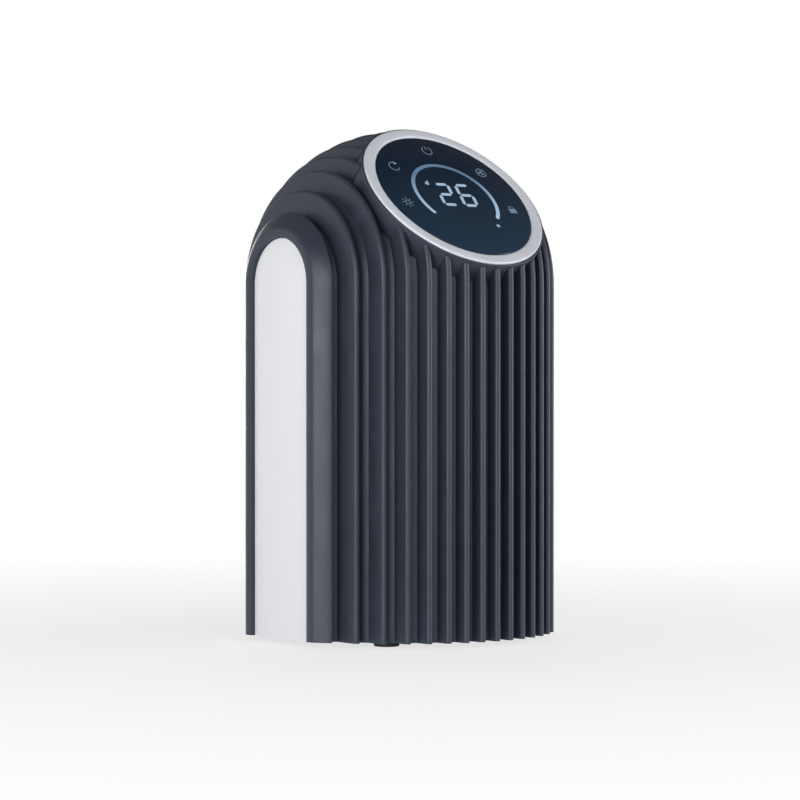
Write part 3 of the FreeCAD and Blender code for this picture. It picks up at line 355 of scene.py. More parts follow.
class Form:
    """Sizes of the ribbed body that follow from the settings and the frame."""

    def __init__(self):
        settings = chosen()
        body = settings.body
        self.body = body
        self.floor = RADIUS - body.groove_depth
        self.inner = self.floor - body.wall
        self.panel_half = PANEL_HIGH.y
        self.recess_half = self.panel_half + settings.panels.gap
        self.rim_half = self.recess_half + body.rim_land
        self.rim_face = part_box("front_shell")[1].x
        self.rim_back = self.rim_face - body.rim_depth
        self.panel_face = self.rim_face - settings.panels.recess
        self.recess_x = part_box("seam_screws")[1].x
        self.end_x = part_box("seam_strips")[1].x
        self.fins = int((self.rim_back - body.fin_thickness) / body.fin_pitch)
        self.door_fins = int(DOOR_HIGH.x / body.fin_pitch)


def floor_arc(radius, start, end, steps=4):
    """Plain points on a groove's floor between two fins."""
    return [(x, ball(radius, x), 0, 0) for x in stepped(start, end, steps)[1:-1]]


def fin_corners(form, index):
    """Corners of one fin from floor to floor."""
    body = form.body
    left = index * body.fin_pitch - body.fin_thickness / 2
    right = left + body.fin_thickness
    tip = ball(RADIUS - body.tip_round, index * body.fin_pitch) + body.tip_round
    return [(left, ball(form.floor, left), body.root_round, 3), (left, tip, body.tip_round, 7),
            (right, tip, body.tip_round, 7), (right, ball(form.floor, right), body.root_round, 3)]


def rib_corners(form, fins):
    """Corners of neighbouring fins with the groove floors between them."""
    corners = []
    for index in range(-fins, fins + 1):
        fin = fin_corners(form, index)
        if corners:
            corners += floor_arc(form.floor, corners[-1][0], fin[0][0])
        corners += fin
    return corners


def rim_corners(form):
    """Corners of the +X end: outermost groove, crowned rim and panel recess."""
    body = form.body
    start = Vector((form.rim_back, ball(RADIUS, form.rim_back)))
    end = Vector((form.rim_face, form.rim_half))
    control = (start + end) / 2 + Vector((0, 2 * body.rim_bulge))
    steps, first, last = 12, 2, 7    # both ends of the crown are left to the rounded edges
    crown = []
    for step in range(first, last + 1):
        along = step / steps
        point = start * (1 - along) ** 2 + control * 2 * along * (1 - along) + end * along ** 2
        crown.append((point.x, point.y, 0, 0))
    neck = form.recess_half + body.recess_wall
    recess_edge = 0.3 * MM
    return [(form.rim_back, neck, body.root_round, 3), (start.x, start.y, body.rim_round, 5), *crown,
            (end.x, end.y, body.rim_face_round, 9), (form.rim_face, form.recess_half, recess_edge, 2),
            (form.recess_x, form.recess_half, 0, 0), (form.recess_x, 0, 0, 0)]


def outer_line(form):
    """Outside of the section from the middle of the -X end to the middle of the +X end."""
    right = rim_corners(form)
    left = [(-x, reach, radius, steps) for x, reach, radius, steps in reversed(right)]
    return [tuple(point) for point in rounded(left + rib_corners(form, form.fins) + right)]


def inner_line(form):
    """Inside of the section, from end wall to end wall."""
    arc = [(x, ball(form.inner, x)) for x in stepped(-form.end_x, form.end_x, 64)]
    return [(-form.end_x, 0)] + arc + [(form.end_x, 0)]


def upright(z, side):
    """A station of the sweep on the straight front or back."""
    return side, 0.0, z


def over_dome(angle):
    """A station of the sweep over the dome, angle up from the back's horizon."""
    return math.cos(angle), math.sin(angle), DOME.z


def place(station, x, reach):
    """The point of the section at a station, reach away from the X axis."""
    out, up, base = station
    return Vector((x, reach * out, base + reach * up))


def sheet_rows(shape, line, stations):
    """Vertices of a line at every station."""
    return [[shape.verts.new(place(station, x, reach)) for x, reach in line] for station in stations]


def sweep_sheet(shape, line, stations, flip=False):
    """An open skin swept from a line of the section."""
    rows = sheet_rows(shape, line, stations)
    for here, there in zip(rows, rows[1:]):
        for step in range(len(here) - 1):
            corners = [here[step], here[step + 1], there[step + 1], there[step]]
            shape.faces.new(corners[::-1] if flip else corners)
    return rows


def ribbed_block(form):
    """Both shells as one hollow body, before they part."""
    steps = form.body.dome_steps
    stations = [upright(z, FRONT) for z in stepped(FOOT_Z, DOME.z, 6)[:-1]]
    stations += [over_dome(math.pi * (1 - step / steps)) for step in range(steps + 1)]
    stations += [upright(z, BACK) for z in stepped(DOME.z, FOOT_Z, 6)[1:]]
    shape = bmesh.new()
    outer = sweep_sheet(shape, outer_line(form), stations)
    inner = sweep_sheet(shape, inner_line(form), stations, flip=True)
    fill_flat(shape, outer[0] + outer[-1][::-1][1:-1], inner[0] + inner[-1][::-1][1:-1])
    bmesh.ops.remove_doubles(shape, verts=shape.verts, dist=2 * HAIR)
    bmesh.ops.dissolve_degenerate(shape, edges=shape.edges, dist=HAIR)
    return solid("ribbed_block", shape)


def eased(count):
    """Shares from 0 to 1, closer together at both ends."""
    return [(1 - math.cos(math.pi * step / (count - 1))) / 2 for step in range(count)]


def slot_cutter(shape, form, stations, groove, end_share=0.12):
    """A slot with rounded ends along the stations, through the floor of a groove."""
    middle = (groove + 0.5) * form.body.fin_pitch
    low, high = ball(form.inner, middle) - SLOT_REACH, ball(form.floor, middle) + SLOT_REACH
    blunt = 0.985                    # keeps both ends a little open, so that no faces fall together
    rows = []
    for index, station in enumerate(stations):
        along = index / (len(stations) - 1)
        inset = max(0.0, 1 - min(along, 1 - along) / end_share)
        half = SLOT_HALF * math.sqrt(max(1 - (blunt * inset) ** 2, 0))
        corners = [(middle - half, low), (middle + half, low), (middle + half, high), (middle - half, high)]
        rows += sheet_rows(shape, corners, [station])
    bar(shape, rows)


def dome_slots(shape, form):
    """Cutters of the outlet: curved slots in each groove at the back of the dome."""
    slots = 3
    first, last, bridge = math.radians(16), math.radians(76), math.radians(4)
    span = (last - first - (slots - 1) * bridge) / slots
    for groove in range(-form.door_fins - 1, form.door_fins + 1):
        for slot in range(slots):
            start = first + slot * (span + bridge)
            slot_cutter(shape, form, [over_dome(start + span * part) for part in eased(17)], groove)


def head_seat(shape):
    """Cutter of the round seat of the control head."""
    sink, tall = 2.6 * MM, 0.2
    radius = head_reach("display_ring")[2] + chosen().display.collar_width + SEAT_GAP
    seat = bmesh.ops.create_cone(shape, cap_ends=True, segments=256, radius1=radius, radius2=radius,
                                 depth=tall)
    lift = Matrix.Translation((0, 0, head_reach("control_housing")[0] - sink + tall / 2))
    bmesh.ops.transform(shape, matrix=head_matrix() @ lift, verts=seat["verts"])


def sensor_vents(shape, form):
    """Cutters of the short vents beside the dust sensor."""
    count, pitch, tall, lowest = 3, 8 * MM, 2.5 * MM, 73.5 * MM
    inside, outside = 52 * MM, 75 * MM
    middle = (form.door_fins + 1.5) * form.body.fin_pitch
    for step in range(count):
        z = lowest + pitch * step
        block(shape, (middle - SLOT_HALF, inside, z), (middle + SLOT_HALF, outside, z + tall))


def shell_cutters(form):
    """Everything that is cut out of the shells, as one object."""
    shape = bmesh.new()
    head_seat(shape)
    bay_front = 32 * MM
    block(shape, (DOOR_LOW.x - SEAT_GAP, bay_front, DOOR_LOW.z - SEAT_GAP),
          (DOOR_HIGH.x + SEAT_GAP, RADIUS + SEAT_GAP, DOOR_HIGH.z + SEAT_GAP))
    dome_slots(shape, form)
    inlet_half, inlet_front, inlet_low, inlet_high = 14.3 * MM, 87.5 * MM, 8.7 * MM, 24.3 * MM
    block(shape, (-inlet_half, inlet_front, inlet_low), (inlet_half, RADIUS, inlet_high))
    sensor_vents(shape, form)
    return solid("shell_cutters", shape)


def islands(shape):
    """Lists of vertices of the separate parts of a mesh, largest first."""
    found = []
    seen = set()
    for start in shape.verts:
        if start in seen:
            continue
        seen.add(start)
        queue = [start]
        group = []
        while queue:
            vert = queue.pop()
            group.append(vert)
            for edge in vert.link_edges:
                other = edge.other_vert(vert)
                if other not in seen:
                    seen.add(other)
                    queue.append(other)
        found.append(group)
    return sorted(found, key=len, reverse=True)


def keep_side(piece, side, plane):
    """Keep what lies on one side of a plane across Y."""
    far = 0.3                        # well past the object
    shape = bmesh.new()
    block(shape, (-far, min(plane, side * far), -far), (far, max(plane, side * far), 2 * far))
    combine(piece, raw_object("half_space", shape), "INTERSECT")


def hand_over_tips(front, rear, plane, half_gap):
    """Give the fin tips that the head's seat cut loose from the front shell to the rear shell."""
    kept, grown = bmesh.new(), bmesh.new()
    kept.from_mesh(front.data)
    grown.from_mesh(rear.data)
    tips = [vert for group in islands(kept)[1:] for vert in group]
    copies = {}
    for vert in tips:
        spot = vert.co.copy()
        if spot.y > plane - half_gap - 10 * HAIR:
            spot.y = plane + half_gap
        copies[vert] = grown.verts.new(spot)
    for face in kept.faces:
        if face.verts[0] in copies:
            grown.faces.new([copies[vert] for vert in face.verts])
    bmesh.ops.delete(kept, geom=tips, context="VERTS")
    for piece, mesh in ((front, kept), (rear, grown)):
        mesh.to_mesh(piece.data)
        mesh.free()


def ribbed_shells():
    """Front and rear shell: one ribbed body parted by a fine shut line."""
    form = Form()
    front = combine(ribbed_block(form), shell_cutters(form), "DIFFERENCE")
    front.name = "ribbed_front"
    rear = duplicate(front, "ribbed_rear")
    plane, half_gap = -form.body.parting, form.body.shut_line / 2
    for piece, side in ((front, FRONT), (rear, BACK)):
        keep_side(piece, side, plane + side * half_gap)
    hand_over_tips(front, rear, plane, half_gap)
    plastic = body_plastic()
    dress(front, plastic, CASING, "body_plastic", "front_shell")
    dress(rear, plastic, CASING, "body_plastic", "rear_shell")


# ---- door and side panels ----------------------------------------------------------------
def door_blank(form):
    """The ribbed door before it is cut."""
    edge = DOOR_HIGH.x
    corners = [(-edge, ball(form.floor, edge), 0, 0)] + rib_corners(form, form.door_fins)
    corners.append((edge, ball(form.floor, edge), 0, 0))
    line = [tuple(point) for point in rounded(corners)]
    line += [(x, ball(form.inner, x)) for x in stepped(edge, -edge, 40)]
    shape = bmesh.new()
    plate(shape, sheet_rows(shape, line, [upright(z, BACK) for z in (DOOR_LOW.z, FAN_Z, DOOR_HIGH.z)]))
    return solid("slotted_door", shape)


def magnet_pads(form):
    """Four pads on the door's inside that hold the magnets."""
    half, across, from_edge, sink = 5 * MM, 25 * MM, 6.2 * MM, 1.2 * MM
    face = min(vert.co.y for vert in NODES["door_magnets"].data.vertices)
    back = ball(form.inner, across + half) + sink
    shape = bmesh.new()
    for x in (-across, across):
        for z in (DOOR_LOW.z + from_edge, DOOR_HIGH.z - from_edge):
            block(shape, (x - half, face, z - half), (x + half, back, z + half))
    return raw_object("pads", shape)


def finger_recess(shape, form):
    """Cutter of the hollow in the door's upper edge, deeper towards the top."""
    half = 2.5 * form.body.fin_pitch - form.body.fin_thickness / 2
    outside = RADIUS + 4 * MM
    rows = []
    for lift, out in ((-16, 12), (-8, 0.02), (2, 0.02)):          # mm over the door's edge and over the floor
        inside = [(x, ball(form.floor, x) + out * MM) for x in stepped(-half, half, 24)]
        loop = inside + [(half, outside), (-half, outside)]
        rows += sheet_rows(shape, loop, [upright(DOOR_HIGH.z + lift * MM, BACK)])
    plate(shape, rows)


def filter_door():
    """Ribbed door with rounded air slots, finger recess and magnet pads."""
    form = Form()
    door = combine(door_blank(form), magnet_pads(form), "UNION")
    slots, pitch, tall = 9, 20 * MM, 14 * MM
    first = FAN_Z - (slots - 1) * pitch / 2 - tall / 2
    shape = bmesh.new()
    for groove in range(-form.door_fins, form.door_fins):
        for slot in range(slots):
            stations = [upright(first + slot * pitch + tall * part, BACK) for part in eased(13)]
            slot_cutter(shape, form, stations, groove, end_share=0.18)
    finger_recess(shape, form)
    combine(door, solid("door_cutters", shape), "DIFFERENCE")
    dress(door, body_plastic(), DOOR_BODY, "body_plastic", "rear_door")


def panel_levels(form):
    """Depth and inset of the panel's rings: back edge, side, rounded edge and lightly crowned face."""
    panels = chosen().panels
    edge = panels.edge_round
    face = form.panel_face - panels.crown
    crown_share, crown_steps = 0.96, 12
    levels = [(form.recess_x, 0.0)]
    for turn in stepped(0, math.pi / 2, 5):
        levels.append((face - edge + edge * math.sin(turn), edge * (1 - math.cos(turn))))
    for step in range(1, crown_steps + 1):
        across = edge + (form.panel_half - edge) * crown_share * step / crown_steps
        share_in = across / form.panel_half
        levels.append((face + panels.crown * (1 - (1 - share_in) ** 2), across))
    return levels


def side_panels():
    """White arched panels with rounded edges and a flush foot."""
    form = Form()
    lacquer = white_lacquer()
    half = form.panel_half
    sides = stepped(FOOT_Z, DOME.z, 8)[:-1]
    arch = [(half, z) for z in sides]
    arch += [(half * math.cos(turn), DOME.z + half * math.sin(turn)) for turn in stepped(0, math.pi, 48)]
    arch += [(-half, z) for z in reversed(sides)]
    for end, label, node in ((-1, "left", "side_panel_left"), (1, "right", "side_panel_right")):
        shape = bmesh.new()
        rows = []
        for depth, inset in panel_levels(form):
            ring = []
            for y, z in arch:
                out = Vector((y, max(z - DOME.z, 0))).normalized()
                drop = out.y * inset if z > DOME.z else 0
                ring.append(shape.verts.new((end * depth, y - out.x * inset, z - drop)))
            rows.append(ring)
        plate(shape, rows)
        dress(solid("white_panel_" + label, shape), lacquer, CASING, "panel_white", node)


# ---- control head ------------------------------------------------------------------------
def turned_piece(name, profile, material, slot, node, degrees=30):
    """A piece of the control head, turned about the display's normal."""
    shape = lathe(rounded(profile), 192)
    shape.transform(head_matrix())
    dress(raw_object(name, shape), material, CASING, slot, node, degrees=degrees)


def control_head():
    """Dark collar, crowned silver ring and cover glass."""
    ring_low, ring_high, ring_out = head_reach("display_ring")
    glass_high, glass_out = head_reach("display_glass")[1:]
    mask_high = head_reach("light_mask")[1]
    low, high = head_reach("control_housing")[:2]
    outer = ring_out + chosen().display.collar_width
    wall, cable_hole = 2.6 * MM, 8 * MM
    cup = glass_out - wall
    seat = ring_out + SEAT_GAP
    collar = [(cable_hole, low, 0, 0), (outer, low, 0.3 * MM, 2), (outer, high, 0.8 * MM, 6),
              (seat, high, 0.25 * MM, 3), (seat, ring_low, 0, 0), (cup, ring_low, 0.4 * MM, 2),
              (cup, low + wall, 1.0 * MM, 3), (cable_hole, low + wall, 0, 0)]
    turned_piece("dark_collar", collar, body_plastic(), "body_plastic", "control_housing")
    inside = glass_out + SEAT_GAP
    crest = [(inside, ring_low, 0, 0), (ring_out, ring_low, 0.2 * MM, 1),
             (ring_out, ring_high - 0.3 * MM, 1.3 * MM, 7), (ring_out - 2.6 * MM, ring_high, 3 * MM, 5),
             (inside + 1.6 * MM, ring_high, 1.4 * MM, 5), (inside, ring_high - 0.9 * MM, 0.5 * MM, 3),
             (inside, ring_low + 0.1 * MM, 0, 0)]
    turned_piece("silver_ring", crest, silver_finish(), "ring_silver", "display_ring", degrees=50)
    disc = [(0, mask_high, 0, 0), (glass_out, mask_high, 0, 0), (glass_out, glass_high, 0.5 * MM, 4),
            (glass_out * 0.6, glass_high, 0, 0), (0, glass_high, 0, 0)]
    turned_piece("cover_glass", disc, tinted_glass(), "cover_glass", "display_glass")


class GlassPrint:
    """Thin marks laid into the glass, drawn in the display's own axes."""

    def __init__(self):
        top, sunk, proud = head_reach("display_glass")[1], 0.02 * MM, 0.03 * MM
        self.low, self.high = top - sunk, top + proud
        self.shape = bmesh.new()

    def patch(self, outline):
        """A closed plate from a flat outline."""
        rows = [[self.shape.verts.new((x, y, z)) for x, y in outline] for z in (self.low, self.high)]
        plate(self.shape, rows)

    def stroke(self, points, width):
        """A line of even width with rounded ends along flat points."""
        points = [Vector(point) for point in points]
        left, right = [], []
        for index, point in enumerate(points):
            ahead = travel(points, index)
            side = Vector((-ahead.y, ahead.x)).normalized() * width / 2
            left.append(point + side)
            right.append(point - side)
        caps = []
        for point, start in ((points[-1], left[-1]), (points[0], right[0])):
            arm = start - point
            caps.append([point + Matrix.Rotation(-math.pi * step / 6, 2) @ arm for step in range(1, 6)])
        self.patch([tuple(point) for point in left + caps[0] + right[::-1] + caps[1]])

    def finish(self, name, material):
        """The drawn marks as one piece."""
        bmesh.ops.recalc_face_normals(self.shape, faces=self.shape.faces)
        self.shape.transform(head_matrix())
        dress(raw_object(name, self.shape), material, CASING, "cover_glass")


def arc_points(centre, radius, start, end, steps):
    """Points on an arc, angles in degrees."""
    turns = [math.radians(turn) for turn in stepped(start, end, steps)]
    return [(centre[0] + radius * math.cos(turn), centre[1] + radius * math.sin(turn)) for turn in turns]


BARS = {"a": ((-1, 1), (1, 1)), "b": ((1, 1), (1, 0)), "c": ((1, 0), (1, -1)), "d": ((-1, -1), (1, -1)),
        "e": ((-1, 0), (-1, -1)), "f": ((-1, 1), (-1, 0)), "g": ((-1, 0), (1, 0))}
SEGMENTS = {"2": "abged", "6": "afgedc"}


def figure(lit, character, centre):
    """A leaning seven-segment figure."""
    display = chosen().display
    half_wide, half_tall = display.digit_width / 2, display.digit_height / 2
    half_bar, gap, slant = 1.35 * MM, 0.55 * MM, 0.13
    for name in SEGMENTS[character]:
        start, end = [Vector((x * half_wide, y * half_tall)) for x, y in BARS[name]]
        along = (end - start).normalized()
        across = Vector((-along.y, along.x)) * half_bar
        start += along * gap
        end -= along * gap
        outline = [start, start + along * half_bar + across, end - along * half_bar + across, end,
                   end - along * half_bar - across, start + along * half_bar - across]
        lit.patch([(centre[0] + point.x + slant * point.y, centre[1] + point.y) for point in outline])


def touch_mark(marks, kind, centre):
    """One small touch mark, its points given in shares of its half size."""
    size = chosen().display.mark_size / 2
    line = 0.62 * MM

    def at(across, up):
        return centre[0] + across * size, centre[1] + up * size

    def arc(radius, start, end, steps, middle=centre):
        marks.stroke(arc_points(middle, radius * size, start, end, steps), line)

    if kind == "power":
        arc(1, 125, 415, 28)
        marks.stroke([at(0, 0.35), at(0, 1.1)], line)
    elif kind == "timer":
        arc(1, 60, 340, 28)
        marks.patch([at(0.2, 1.3), at(1.1, 0.85), at(0.4, 0.4)])
    elif kind == "fan":
        arc(1, 0, 170, 16)
        arc(1, 180, 350, 16)
        for turn in (30, 150, 270):
            marks.patch([centre] + arc_points(centre, 0.62 * size, turn, turn + 62, 6))
    elif kind == "lock":
        marks.patch([at(-0.8, -0.9), at(0.8, -0.9), at(0.8, 0.2), at(-0.8, 0.2)])
        arc(0.52, 0, 180, 14, middle=at(0, 0.3))
    else:
        arc(0.5, 5, 355, 24)
        for turn in range(0, 360, 45):
            ray = [arc_points(centre, reach * size, turn, turn + 1, 1)[0] for reach in (0.85, 1.15)]
            marks.stroke(ray, line)


def display_marks():
    """Figures, gauge arc, touch marks and signal dots, laid into the glass."""
    display = chosen().display
    figures = GlassPrint()
    figure(figures, "2", (-6.8 * MM, 0.6 * MM))
    figure(figures, "6", (11.2 * MM, 0.4 * MM))
    figures.finish("lit_figures", lit_mark("lit_figures", 1.0))
    gauge = GlassPrint()
    gauge_centre, gauge_width = (0.4 * MM, -1.8 * MM), 2.9 * MM
    gauge.stroke(arc_points(gauge_centre, display.gauge_radius, 210, -38, 96), gauge_width)
    gauge.finish("gauge_arc", gauge_light())
    marks = GlassPrint()
    for kind, angle in (("power", 87), ("timer", 143), ("sun", 191), ("fan", 33), ("lock", -16)):
        turn = math.radians(angle)
        touch_mark(marks, kind, (display.mark_circle * math.cos(turn), display.mark_circle * math.sin(turn)))
    marks.finish("touch_marks", lit_mark("touch_marks", 0.42))
    signals = GlassPrint()
    dot, dot_radius = (22 * MM, -30.6 * MM), 1.5 * MM
    drop, drop_radius, drop_tip = (-17.6 * MM, 11.6 * MM), 1.7 * MM, (-15.2 * MM, 15.0 * MM)
    signals.patch(arc_points(dot, dot_radius, 0, 345, 23))
    signals.patch(arc_points(drop, drop_radius, 130, 400, 18) + [drop_tip])
    signals.finish("signal_dots", lit_mark("signal_dots", 0.8))


# ---- base, filter and inner pieces -------------------------------------------------------
def rubber_feet():
    """Four turned rubber feet with a grooved sole."""
    low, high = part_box("rubber_feet")
    radius, groove = 9 * MM, 0.35 * MM
    offset = high.x - radius
    profile = rounded([(0, groove, 0, 0), (3.0 * MM, groove, 0, 0), (3.5 * MM, 0, 0.2 * MM, 2),
                       (5.2 * MM, 0, 0.2 * MM, 2), (5.6 * MM, groove, 0, 0), (6.3 * MM, groove, 0, 0),
                       (6.7 * MM, 0, 0.2 * MM, 2), (radius - 0.3 * MM, 0, 0.6 * MM, 4),
                       (radius, 1.6 * MM, 0.5 * MM, 3), (radius, high.z, 0, 0), (0, high.z, 0, 0)])
    shape = bmesh.new()
    for x in (-offset, offset):
        for y in (-offset, offset):
            foot = lathe(profile, 64)
            foot.transform(Matrix.Translation((x, y, low.z)))
            mesh = bpy.data.meshes.new("foot")
            foot.to_mesh(mesh)
            foot.free()
            shape.from_mesh(mesh)
            bpy.data.meshes.remove(mesh)
    dress(raw_object("turned_feet", shape), rubber_finish(), CASING, "foot_rubber", "rubber_feet")


def net_threads(shape, low, high, axis, other):
    """Threads side by side along one axis that run along the other, over and under what they cross."""
    pitch = chosen().inside.net_pitch
    thread = 0.26 * MM               # half the width of a thread
    middle = (low.y + high.y) / 2
    count = int((high[axis] - low[axis]) / pitch)
    crossings = int((high[other] - low[other]) / pitch)
    for line in range(1, count):
        at = low[axis] + (high[axis] - low[axis]) * line / count
        rows = []
        for step, along in enumerate(stepped(low[other], high[other], 2 * crossings)):
            wave = math.cos(math.pi * (step / 2 + line + (axis == 2))) if step % 2 == 0 else 0
            lift = thread * 0.9 * wave
            ring = []
            for side_step, rise_step in ((1, 0), (0, 1), (-1, 0), (0, -1)):
                spot = Vector((0, middle + lift + rise_step * thread, 0))
                spot[axis] = at + side_step * thread
                spot[other] = along
                ring.append(shape.verts.new(spot))
            rows.append(ring)
        bar(shape, rows)


def filter_net():
    """Woven pre-filter net: threads over and under each other in a flat hem."""
    low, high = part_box("prefilter_mesh")
    hem = 2.2 * MM
    shape = bmesh.new()
    for axis, other in ((0, 2), (2, 0)):
        net_threads(shape, low, high, axis, other)
    for x0, z0, x1, z1 in ((low.x, low.z, low.x + hem, high.z), (high.x - hem, low.z, high.x, high.z),
                           (low.x, low.z, high.x, low.z + hem), (low.x, high.z - hem, high.x, high.z)):
        block(shape, (x0, low.y, z0), (x1, high.y, z1))
    dress(solid("woven_net", shape), net_nylon(), CARTRIDGE_BODY, "mesh_nylon", "prefilter_mesh", degrees=60)


def pull_ribbon():
    """Stitched pull tape: glued to the rail, folded out into a soft loop."""
    low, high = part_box("pull_tab")
    thick = 0.55 * MM
    base, reach = low.y + thick, high.y - thick
    path = rounded([(base, high.z, 0, 0), (base, low.z + 0.5 * MM, 1.4 * MM, 5),
                    (reach, low.z + 0.8 * MM, 1.5 * MM, 7), (reach, low.z + 3.4 * MM, 1.3 * MM, 7),
                    (base + 1.4 * MM, low.z + 2.6 * MM, 0, 0)])
    shape = bmesh.new()
    rows = []
    for index, point in enumerate(path):
        ahead = travel(path, index)
        normal = Vector((-ahead.y, ahead.x)).normalized() * thick / 2
        ring = []
        for side, end in ((1, -1), (1, 1), (-1, 1), (-1, -1)):
            y, z = point + side * normal
            ring.append(shape.verts.new((high.x * end, y, z)))
        rows.append(ring)
    bar(shape, rows)
    dress(solid("pull_ribbon", shape), tape_fabric(), CARTRIDGE_BODY, "tab_fabric", "pull_tab", degrees=60)


def inner_finishes():
    """Materials of the frame's own nodes that stay in sight behind the door, the slots and the base."""
    inside = chosen().inside
    screws = "seam_screws display_screws base_screws bay_screws fan_screws motor_screws board_screws"
    finishes = (
        (moulded("chassis_plastic", inside.chassis, 0.52, 0.5),
         "filter_bay fan_housing inlet_guard seam_strips"),
        (moulded("base_plastic", inside.base, 0.6, 1.0),
         "base_plate outlet_vanes mains_inlet dust_sensor"),
        (brushed("screw_steel", (0.52, 0.53, 0.55), 0.34), "latch_keepers touch_springs " + screws),
        (brushed("nickel", (0.66, 0.66, 0.67), 0.22), "motor_shaft door_magnets inlet_pins"),
        (moulded("wheel_nylon", inside.base, 0.45, 0.4), "impeller"),
        (moulded("encapsulant", inside.base, 0.5, 0.7), "board_parts"),
        (foam(), "bay_seal motor_gasket"),
        (brushed("motor_can", (0.58, 0.59, 0.61), 0.4), "motor_housing"),
        (moulded("cartridge_plastic", inside.frame_white, 0.5, 0.5), "filter_frame"),
        (filter_paper(), "pleated_paper"),
        (carbon_felt(), "carbon_sheet"),
        (moulded("mask_plastic", inside.frame_white, 0.6, 0.3), "light_mask"),
        (solder_mask(), "display_board power_board"),
        (brushed("nut_brass", (0.72, 0.52, 0.24), 0.3), "shaft_nut"),
    )
    for material, names in finishes:
        for name in names.split():
            for slot in NODES[name].material_slots:
                slot.material = material


# ---- materials ---------------------------------------------------------------------------
NUMBER, COLOUR = "NodeSocketFloat", "NodeSocketColor"


def add(tree, kind, values=None, **settings):
    """A node with its settings and its input values or links."""
    node = tree.nodes.new(kind)
    for key, value in settings.items():
        setattr(node, key, value)
    for key, value in (values or {}).items():
        if isinstance(value, bpy.types.NodeSocket):
            tree.links.new(value, node.inputs[key])
        else:
            node.inputs[key].default_value = value
    return node


def effect(tree, name, fill, outputs, inputs=(), values=None):
    """An effect placed in a material with its own values. Its node group is built once, by fill."""
    group = bpy.data.node_groups.get(name)
    if not group:
        group = bpy.data.node_groups.new(name, "ShaderNodeTree")
        for label, kind, default in inputs:
            group.interface.new_socket(name=label, in_out="INPUT", socket_type=kind).default_value = default
        for label, kind in outputs:
            group.interface.new_socket(name=label, in_out="OUTPUT", socket_type=kind)
        fill(group, group.nodes.new("NodeGroupInput").outputs, group.nodes.new("NodeGroupOutput").inputs)
    return add(tree, "ShaderNodeGroup", values, node_tree=group).outputs


def object_point(tree):
    """Where a point lies on its own object."""
    return add(tree, "ShaderNodeTexCoord").outputs["Object"]


def combined(tree, operation, first, second):
    """Two values put together by one operation."""
    return add(tree, "ShaderNodeMath", {0: first, 1: second}, operation=operation).outputs[0]


def remapped(tree, value, low, high, to_low=0.0, to_high=1.0):
    """A value carried from one range to another and held at its ends."""
    return add(tree, "ShaderNodeMapRange", {"Value": value, "From Min": low, "From Max": high,
                                            "To Min": to_low, "To Max": to_high}).outputs[0]


def ranged(tree, value, low, high):
    """A noise, which stays near its middle, stretched to a range."""
    return remapped(tree, value, 0.3, 0.7, low, high)


def mixed(tree, factor, first, second):
    """A colour between two others."""
    node = add(tree, "ShaderNodeMix", {"Factor": factor}, data_type="RGBA")
    for socket, colour in ((node.inputs[6], first), (node.inputs[7], second)):
        if isinstance(colour, bpy.types.NodeSocket):
            tree.links.new(colour, socket)
        else:
            socket.default_value = (*colour, 1)
    return node.outputs[2]


def shade(colour, factor):
    """A lighter or darker colour."""
    return [min(value * factor, 1) for value in colour]


def finish_named(name):
    """A material with its node tree and shader, or the material alone where it exists already."""
    material = bpy.data.materials.get(name)
    if material:
        return material, None, None
    material = bpy.data.materials.new(name)
    material.use_nodes = True
    return material, material.node_tree, material.node_tree.nodes["Principled BSDF"]


def surface(tree, shader, colour, rough, height=None, strength=0.0, distance=0.0):
    """Feed a shader its colour and roughness, and its bump where there is one."""
    tree.links.new(colour, shader.inputs["Base Color"])
    tree.links.new(rough, shader.inputs["Roughness"])
    if height:
        bump = add(tree, "ShaderNodeBump", {"Height": height, "Strength": strength, "Distance": distance})
        tree.links.new(bump.outputs[0], shader.inputs["Normal"])


def fill_grain(tree, source, sink):
    """Fine moulded grain over soft, wide unevenness."""
    point = object_point(tree)
    fine = add(tree, "ShaderNodeTexNoise", {"Vector": point, "Scale": source["Fine Scale"], "Detail": 3.0})
    facets = add(tree, "ShaderNodeTexVoronoi", {"Vector": point, "Scale": source["Fine Scale"]})
    wide = add(tree, "ShaderNodeTexNoise", {"Vector": point, "Scale": 34.0, "Detail": 4.0, "Roughness": 0.55})
    grains = combined(tree, "MULTIPLY", fine.outputs[0], facets.outputs["Distance"])
    tree.links.new(grains, sink["Height"])
    tree.links.new(wide.outputs[0], sink["Mottle"])


def grain(tree, fine_scale):
    """Moulded grain placed in a material: its mottle and its height."""
    placed = effect(tree, "Moulded grain", fill_grain, [("Height", NUMBER), ("Mottle", NUMBER)],
                    [("Fine Scale", NUMBER, 2400.0)], {"Fine Scale": fine_scale})
    return placed["Mottle"], placed["Height"]


def fill_wear_edge_highlight_dust(tree, source, sink):
    """Rubbed edges, lightened in part as a painted highlight along sharp edges, and dust on faces that look
    up, mixed over a plain colour.
    """
    geometry = add(tree, "ShaderNodeNewGeometry")
    # pointed edges get the worn colour: rubbed wear and, on the fin tips, a painted highlight
    rubbed_and_lit = remapped(tree, geometry.outputs["Pointiness"], 0.515, 0.60, 0.0, source["Wear And Edge Highlight"])
    up = add(tree, "ShaderNodeSeparateXYZ", {0: geometry.outputs["Normal"]})
    lying = remapped(tree, up.outputs["Z"], 0.35, 1.0)
    specks = add(tree, "ShaderNodeTexNoise", {"Vector": object_point(tree), "Scale": 260.0, "Detail": 6.0,
                                              "Roughness": 0.75})
    patches = remapped(tree, specks.outputs[0], 0.45, 0.75)
    dusty = combined(tree, "MULTIPLY", lying, patches)
    amount = combined(tree, "MULTIPLY", dusty, source["Dust"])
    worn_and_lit = mixed(tree, rubbed_and_lit, source["Color"], source["Worn And Lit Edge Color"])
    tree.links.new(mixed(tree, amount, worn_and_lit, source["Dust Color"]), sink["Color"])


